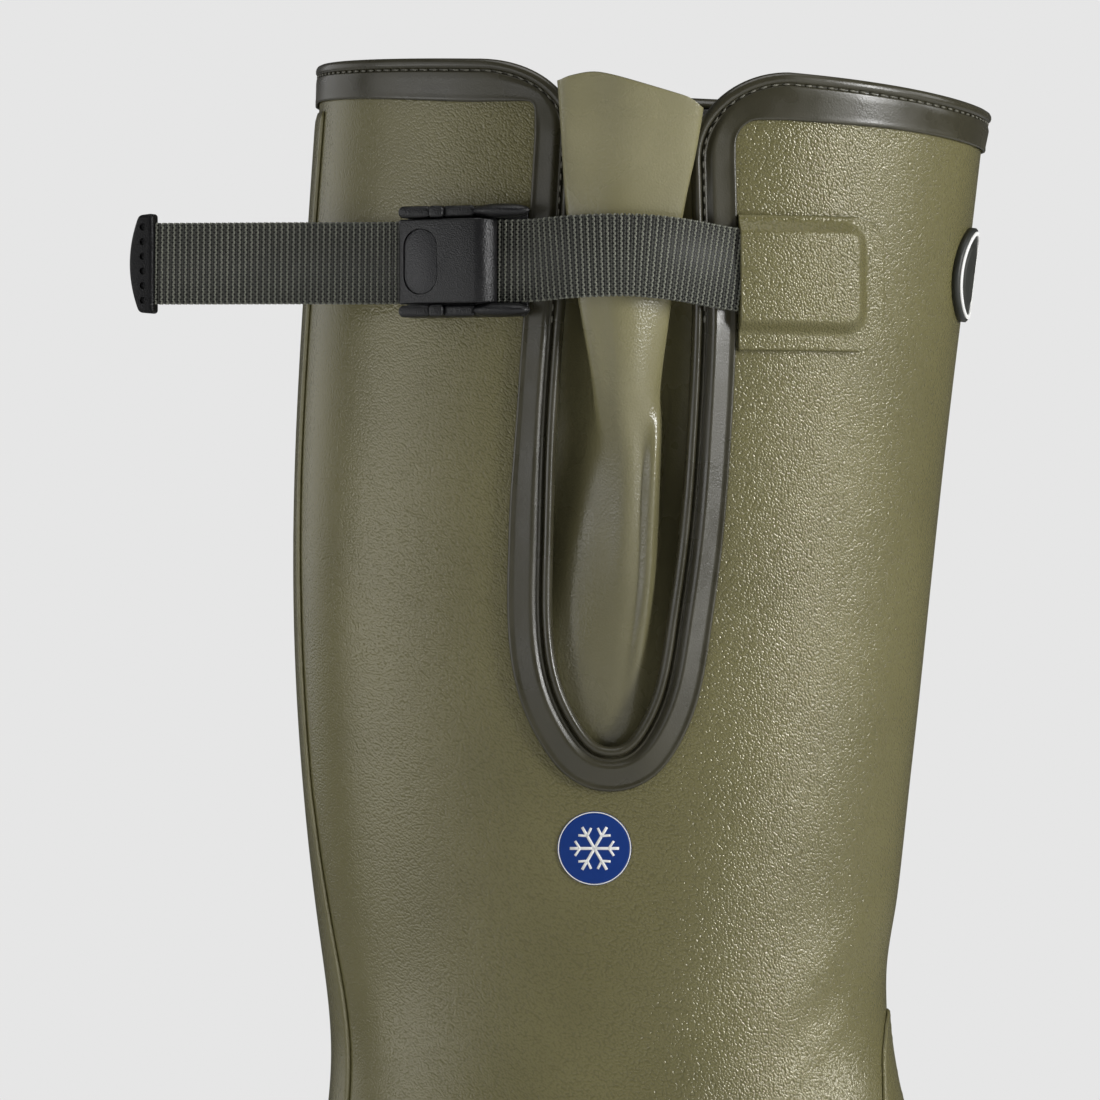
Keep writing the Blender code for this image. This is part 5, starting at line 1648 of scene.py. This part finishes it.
def build_strap():
    """Webbing with a near-black core that stands in for the shade between its floats, and zigzag columns of
    yarn floats, raised and sunk by turns, on both faces, the sunk ones darkened with painted shade.
    """
    line, _, up, out, length = strap_line(STRAP_CORE_STEPS)
    half = STRAP_WIDTH / 2 - STRAP_CORE_INSET
    thick = STRAP_CORE / 2
    edge = half + STRAP_CORE_BULGE
    corners = ((-half, -thick), (half, -thick), (edge, 0.0), (half, thick), (-half, thick), (-edge, 0.0))
    rings = [[p + a * u + b * o for a, b in corners] for p, u, o in zip(line, up, out)]
    add_piece("strap", tube_mesh("strap", rings), WEBBING_CORE_SHADE, "webbing", "strap")
    columns = int(length / WEAVE_PITCH)
    ribs = weave_mesh("strap_ribs", columns, first=0, size=RIB_FLOAT, sink=0.0, finish=WEBBING)
    add_piece("strap_ribs", ribs, WEBBING, "webbing")
    gaps = weave_mesh("strap_sunk_yarn", columns, first=1, size=GAP_FLOAT, sink=GAP_SINK, finish=WEBBING_SUNK_SHADE)
    add_piece("strap_sunk_yarn", gaps, WEBBING_SUNK_SHADE, "webbing")


def float_levels():
    """Heights of the yarn floats across the strap."""
    count = round(STRAP_WIDTH / FLOAT_STEP)
    return (np.arange(count) - (count - 1) / 2) * FLOAT_STEP


def weave_mesh(name, columns, first, size, sink, finish):
    """Zigzag columns of short yarn floats on both faces, at every second station from the first."""
    line, along, up, out, _ = strap_line(2 * columns - 1)
    slant = math.radians(FLOAT_SLANT)
    rise = STRAP_THICKNESS / 2 - size[2] / 2 - sink
    places, runs, outs = [], [], []
    for i in range(first, 2 * columns - 1, 2):
        for j, level in enumerate(float_levels()):
            lean = slant if (first + j) % 2 else -slant
            for face in (-1.0, 1.0):
                places.append(line[i] + level * up[i] + face * rise * out[i])
                runs.append(math.cos(lean) * up[i] + math.sin(lean) * along[i])
                outs.append(face * out[i])
    return laid_beads(name, places, runs, outs, size, finish)


def arc(centre, radius, start, end, count):
    """Points of an arc, with angles in degrees."""
    turns = np.radians(np.linspace(start, end, count))
    return [(centre[0] + radius * math.cos(a), centre[1] + radius * math.sin(a)) for a in turns]


def box_outline(low, high, corner):
    """Rectangle with rounded corners."""
    rear, bottom = low[0] + corner, low[1] + corner
    front, top = high[0] - corner, high[1] - corner
    points = []
    for k, centre in enumerate(((front, top), (rear, top), (rear, bottom), (front, bottom))):
        points += arc(centre, corner, 90 * k, 90 * (k + 1), BOX_CORNER_STEPS)
    return points


def ear_mesh(side):
    """Long oval ear of a cheek, beside the rolled end of the lever."""
    along, up, out = EAR_MIDDLE
    half_along, half_up, half_out = EAR_HALF
    rings = []
    for share in np.linspace(-1.0, 1.0, EAR_RINGS):
        swell = math.sqrt(max(EAR_LEAST_SWELL, 1.0 - abs(share) ** EAR_POWER))
        ring = []
        for turn in full_turn(EAR_SIDES):
            beside = side * up + half_up * swell * math.cos(turn)
            over = out + half_out * swell * math.sin(turn)
            ring.append(BUCKLE.at(along + half_along * share, beside, over))
        rings.append(ring)
    return tube_mesh("ear", rings)


def lever_top(along):
    """How far the flat of the lever stands out."""
    start, out = LEVER_FLAT
    return out + LEVER_SLOPE * (along - start)


def inlay_prism(name, radius, levels):
    """Prism with the long round outline of the inlay, between two levels over the flat of the lever."""
    outline = arc((INLAY_MIDDLE, INLAY_HALF_HEIGHT), radius, 0, 180, INLAY_ARC_STEPS)
    outline += arc((INLAY_MIDDLE, -INLAY_HALF_HEIGHT), radius, 180, 360, INLAY_ARC_STEPS)
    rings = [[BUCKLE.at(a, b, lever_top(a) + level) for a, b in outline] for level in levels]
    return tube_mesh(name, rings)


def build_buckle():
    """Plate with two cheeks under and beside the strap."""
    rear, front = BUCKLE_ENDS
    wide = BUCKLE_HALF_WIDTH
    outline = box_outline((rear, -wide), (front, wide), PLATE_CORNER)
    shapes = [BUCKLE.block("plate", outline, PLATE_UNDERSIDE, PLATE_TOP, PLATE_ROUNDING)]
    for side in (-1.0, 1.0):
        low, high = sorted((side * CHEEK_INSIDE, side * wide))
        for block in CHEEK_BLOCKS:
            outline = box_outline((block.rear, low), (block.front, high), block.corner)
            shapes.append(BUCKLE.block(block.name, outline, block.low, block.high, block.soft))
        shapes.append(ear_mesh(side))
    add_piece("buckle_base", joined("buckle_base", shapes), PLASTIC, "buckle_plastic", "buckle_base")


def build_lever():
    """Lever over the strap, with a long round inlay let into its flat."""
    outline = list(LEVER_UNDERSIDE) + arc(*LEVER_ROLL, *LEVER_ROLL_TURN, LEVER_ROLL_STEPS) + list(LEVER_TOP)
    rings = []
    for up in (-LEVER_HALF_WIDTH, LEVER_HALF_WIDTH):
        rings.append([BUCKLE.at(along, up, out) for along, out in outline])
    lever = rounded(tube_mesh("buckle_lever", rings), LEVER_ROUNDING, segments=3, angle=40.0)
    lever = creased(cut(lever, inlay_prism("pocket", INLAY_RADIUS, INLAY_POCKET)), degrees=40.0)
    add_piece("buckle_lever", lever, PLASTIC, "buckle_plastic", "buckle_lever")
    inlay = inlay_prism("lever_inlay", INLAY_RADIUS - INLAY_GAP, INLAY_LEVELS)
    add_piece("lever_inlay", rounded(inlay, INLAY_ROUNDING), INLAY, "buckle_plastic")


def build_tip():
    """Clip over the end of the tail: bowed outer edge, rounded rims and a column of small round dimples."""
    start = TAIL_END - TIP_GAP
    middle = TAIL_RISE * (TAIL_START - start)
    half = TIP_HALF_WIDTH
    turn = np.linspace(-1.0, 1.0, TIP_BOW_STEPS)
    bow = [(start - TIP_LENGTH + TIP_BOW * s * s, middle + half * TIP_BOW_SHARE * s) for s in turn]
    outline = [(start, middle - half)] + bow + [(start, middle + half)]
    rings = []
    for out in (STRAP_LEVEL - TIP_THICKNESS / 2, STRAP_LEVEL + TIP_THICKNESS / 2):
        rings.append([BUCKLE.at(along, up, out) for along, up in outline])
    clip = rounded(tube_mesh("strap_tip", rings), TIP_ROUNDING, segments=4)
    dimples = []
    for k in range(DIMPLE_COUNT):
        up = middle + (k - (DIMPLE_COUNT - 1) / 2) * DIMPLE_PITCH
        ring = arc((start - DIMPLE_INSET, up), DIMPLE_RADIUS, *DIMPLE_TURN, DIMPLE_SIDES)
        dimples.append(tube_mesh("dimple", [[BUCKLE.at(a, b, c) for a, b in ring] for c in DIMPLE_LEVELS]))
    clip = creased(cut(clip, joined("dimples", dimples)), degrees=45.0)
    add_piece("strap_tip", clip, TIP_PLASTIC, "buckle_plastic", "strap_tip")


def build_patch():
    """Patch over the strap's fixed end: a thin flange, softly raised where the strap lies under it."""
    low, high = PATCH_HEIGHTS
    raised_low, raised_high = PATCH_RAISED_HEIGHTS
    rim = np.array(PATCH_EDGE_HEIGHTS)
    inner = np.linspace(low + PATCH_EDGE, high - PATCH_EDGE, PATCH_STEPS)
    heights = np.concatenate([low + rim, inner, high - rim[::-1]])
    inner_shares = np.linspace(*PATCH_INNER_SHARES, PATCH_STEPS)
    shares = np.concatenate([[0.0], inner_shares, PATCH_EDGE_SHARES])
    into_corner = np.maximum(0.0, np.maximum(low + PATCH_CORNER - heights, heights - high + PATCH_CORNER))
    round_reach = np.sqrt(np.maximum(0.0, PATCH_CORNER**2 - into_corner**2))
    reach = PATCH_FRONT - PATCH_CORNER - PATCH_REAR + round_reach
    x = PATCH_REAR + shares[None, :] * reach[:, None]
    z = np.broadcast_to(heights[:, None], x.shape)
    to_front = PATCH_REAR + reach[:, None] - x
    to_edge = np.minimum(to_front, np.minimum(z - low, high - z))
    roll = PATCH_EDGE_FOOT + (1.0 - PATCH_EDGE_FOOT) * round_rise(to_edge / PATCH_EDGE)
    past_x = x - PATCH_RAISED_FRONT + PATCH_RAISED_CORNER
    past_z = np.maximum(z - raised_high, raised_low - z) + PATCH_RAISED_CORNER
    inside = PATCH_RAISED_CORNER - np.hypot(np.maximum(past_x, 0.0), np.maximum(past_z, 0.0))
    inside = inside - np.minimum(np.maximum(past_x, past_z), 0.0)
    thick = PATCH_FLANGE * roll + PATCH_RAISE * smooth_step(inside / PATCH_SLOPE)
    under = on_side(x, z, np.full(x.shape, OVERLAY_GAP))
    over = on_side(x, z, OVERLAY_GAP + thick)
    rings = np.concatenate([under, over[:, ::-1]], axis=1)
    mesh = new_mesh("strap_patch", rings, grid_faces(*rings.shape[:2], looped=True))
    mesh = face_outwards(mesh, fill=True)
    add_piece("strap_patch", mesh, PATCH_PANEL, "olive_rubber", "strap_patch")


# Sole and footbed


def sole_outline(proud):
    """Plan outline of the sole edge moved outwards, as a function of the station, and its two ends."""
    rows = np.linspace(0.0, HEEL_ROW, SOLE_STEPS_PER_SECTION * HEEL_ROW)
    ring = np.concatenate([skin(-1.0, rows), skin(1.0, rows)[-2:0:-1]])
    along = np.roll(ring, -1, axis=0) - np.roll(ring, 1, axis=0)
    outward = unit(np.stack([along[:, 1], -along[:, 0]], axis=1))
    centre = ring[:, :2].mean(axis=0)
    if np.sum(outward * (ring[:, :2] - centre)) < 0:
        outward = -outward
    edge = ring[:, :2] + proud * outward
    edge = np.roll(edge, -int(np.argmax(edge[:, 0])), axis=0)
    heel = int(np.argmin(edge[:, 0]))
    lateral = edge[: heel + 1][::-1]
    medial = np.concatenate([edge[heel:], edge[:1]])
    seat = skin(-1.0, rows)[::-1]
    ends = (edge[heel, 0], edge[0, 0])

    def at(x):
        """Height, outer edge and inner edge of the outline at a station."""
        return (
            np.interp(x, seat[:, 0], seat[:, 2]),
            np.interp(x, lateral[:, 0], lateral[:, 1]),
            np.interp(x, medial[:, 0], medial[:, 1]),
        )

    return at, ends


def ground_z(x):
    """Height of the tread above the floor: flat at heel and forefoot, raised at the toe."""
    share = max(0.0, x - TOE_SPRING_START) / (HEEL_BACK + LAST_LENGTH - TOE_SPRING_START)
    return TOE_SPRING * share**2


def lug_spans(ends):
    """Start and end of every row of lugs along the foot, cut to the ends of the sole."""
    spans = []
    for rows in (HEEL_LUGS, FOREFOOT_LUGS):
        for k in range(rows.count):
            middle = rows.first + k * rows.pitch
            start = max(middle - rows.length / 2, ends[0])
            spans.append((start, min(middle + rows.length / 2, ends[1])))
    return spans


def arch_ends(spans):
    """Where the heel's lugs end and those of the forefoot start."""
    return spans[HEEL_LUGS.count - 1][1], spans[HEEL_LUGS.count][0]


def sole_stations(spans, ends):
    """Stations along the sole, each with whether the lugs reach it."""
    stations = [(ends[0] + step, True) for step in SOLE_END_STEPS if ends[0] + step < spans[0][1]]
    stations += [(ends[1] - step, True) for step in SOLE_END_STEPS if ends[1] - step > spans[-1][0]]
    for start, end in spans:
        stations += [(start, True), ((start + end) / 2, True), (end, True)]
        if start > ends[0]:
            stations.append((start - LUG_DRAFT, False))
        if end < ends[1]:
            stations.append((end + LUG_DRAFT, False))
    heel_end, forefoot_start = arch_ends(spans)
    arch = np.linspace(heel_end + ARCH_MARGIN, forefoot_start - ARCH_MARGIN, ARCH_STEPS)
    stations += [(x, False) for x in arch]
    return sorted(stations)


def lug_shares():
    """Shares across the sole, each with whether a lug reaches it."""
    across = []
    for left, right in LUG_STRIPS:
        if left > 0.0:
            across.append((left - STRIP_DRAFT, False))
        across += [(left, True), (right, True)]
        if right < 1.0:
            across.append((right + STRIP_DRAFT, False))
    return across


def build_sole():
    """Outsole with heel, arch, toe spring and lugs, and a moulded groove round its side."""
    outline, tips = sole_outline(SOLE_PROUD)
    ends = (tips[0] + SOLE_END_CUT, tips[1] - SOLE_END_CUT)
    spans = lug_spans(ends)
    heel_end, forefoot_start = arch_ends(spans)
    rings = []
    for x, lugged in sole_stations(spans, ends):
        seat, lateral, medial = outline(x)
        rise = np.interp(x, [heel_end, *ARCH_SPAN, forefoot_start], [0.0, 1.0, 1.0, 0.0])
        base = ground_z(x) + LUG_DEPTH + smooth_step(rise) * (ARCH_RISE - LUG_DEPTH)
        ring = []
        for share, strip in lug_shares():
            y = lateral + share * (medial - lateral)
            ring.append((x, y, ground_z(x) if lugged and strip else base))
        top = seat - SOLE_GAP
        depth = min(GROOVE_DEPTH, GROOVE_SHARE * (medial - lateral))
        side = list(zip((0.0, depth, depth, 0.0), GROOVE_HEIGHTS)) + [(0.0, 0.0)]
        ring += [(x, medial - into, top - down) for into, down in side]
        ring += [(x, lateral + into, top - down) for into, down in side[::-1]]
        rings.append(ring)
    sole = rounded(tube_mesh("outsole", rings), SOLE_ROUNDING, angle=40.0)
    add_piece("outsole", sole, SOLE, "sole_rubber", "outsole")


def build_insole():
    """Felted footbed inside the upper."""
    outline, tips = sole_outline(-CAD_WALL - INSOLE_GAP)
    share = (1.0 - np.cos(np.linspace(0.0, math.pi, INSOLE_STEPS))) / 2
    rings = []
    for x in tips[0] + SOLE_END_CUT + share * (tips[1] - tips[0] - 2 * SOLE_END_CUT):
        seat, lateral, medial = outline(x)
        top = seat + INSOLE_THICKNESS
        rings.append([(x, lateral, seat), (x, medial, seat), (x, medial, top), (x, lateral, top)])
    footbed = rounded(tube_mesh("insole", rings), INSOLE_ROUNDING, segments=3, angle=40.0)
    add_piece("insole", footbed, FOOTBED, "footbed", "insole")


# Floor, light and camera


def build_floor():
    """Plain pale floor that fades out at its edge."""
    turns = full_turn(FLOOR_SIDES)
    points = [(FLOOR_RADIUS * math.cos(a), FLOOR_RADIUS * math.sin(a), 0.0) for a in turns]
    mesh = new_mesh("floor", points, [tuple(range(len(points)))])
    f = Finish("pale_floor", Base_Color=FLOOR_GREY, Roughness=0.8)
    reach = f.node("ShaderNodeVectorMath", {"operation": "LENGTH"}, {0: f.place}, "Value")
    f.set(Alpha=1.0 - reach.ease(FLOOR_FADE_START * FLOOR_RADIUS * MM, FLOOR_RADIUS * MM))
    mesh.materials.append(f.material)
    floor = bpy.data.objects.new("floor", mesh)
    bpy.context.scene.collection.objects.link(floor)


def turned_to(aim, place):
    """Turn of a lamp or a camera that looks from a place to an aim."""
    return (Vector(aim) - Vector(place)).to_track_quat("-Z", "Y").to_euler()


def add_lamp(lamp):
    """Soft rectangular lamp that the camera doesn't see."""
    data = bpy.data.lights.new(lamp.name, "AREA")
    data.shape = "RECTANGLE"
    data.size, data.size_y = lamp.size
    data.energy = lamp.power
    light = bpy.data.objects.new(lamp.name, data)
    light.location = lamp.place
    light.rotation_euler = turned_to(lamp.aim, lamp.place)
    light.visible_camera = False
    bpy.context.scene.collection.objects.link(light)


def build_light():
    """Dim even surroundings that the camera sees as a pale backdrop, and the studio's lamps."""
    scene = bpy.context.scene
    scene.view_settings.view_transform = "Standard"
    scene.view_settings.look = "None"
    world = bpy.data.worlds.new("studio")
    world.use_nodes = True
    scene.world = world
    nodes, links = world.node_tree.nodes, world.node_tree.links
    seen = nodes["Background"]
    seen.inputs["Color"].default_value = BACKDROP
    lit = nodes.new("ShaderNodeBackground")
    lit.inputs["Color"].default_value = ROOM_LIGHT
    path = nodes.new("ShaderNodeLightPath")
    mix = nodes.new("ShaderNodeMixShader")
    links.new(path.outputs["Is Camera Ray"], mix.inputs[0])
    links.new(lit.outputs[0], mix.inputs[1])
    links.new(seen.outputs[0], mix.inputs[2])
    links.new(mix.outputs[0], nodes["World Output"].inputs[0])
    for lamp in LAMPS:
        add_lamp(lamp)


def build_camera():
    """Camera level with the shaft, looking a little up at its outer side."""
    data = bpy.data.cameras.new("camera")
    data.sensor_width = SENSOR
    data.lens = SENSOR * CAMERA_DISTANCE / FRAME_WIDTH
    data.clip_end = VIEW_DEPTH
    camera = bpy.data.objects.new("camera", data)
    aim = Vector(CAMERA_AIM) * MM
    place = Vector((CAMERA_AIM[0], -CAMERA_DISTANCE, CAMERA_HEIGHT)) * MM
    camera.location = place
    camera.rotation_euler = turned_to(aim, place)
    bpy.context.scene.collection.objects.link(camera)
    bpy.context.scene.camera = camera


build_camera()
build_light()
build_floor()
build_upper()
build_overlays()
build_sticker()
build_badge()
build_trim()
build_stitches()
build_gusset()
build_strap()
build_buckle()
build_lever()
build_tip()
build_patch()
build_sole()
build_insole()
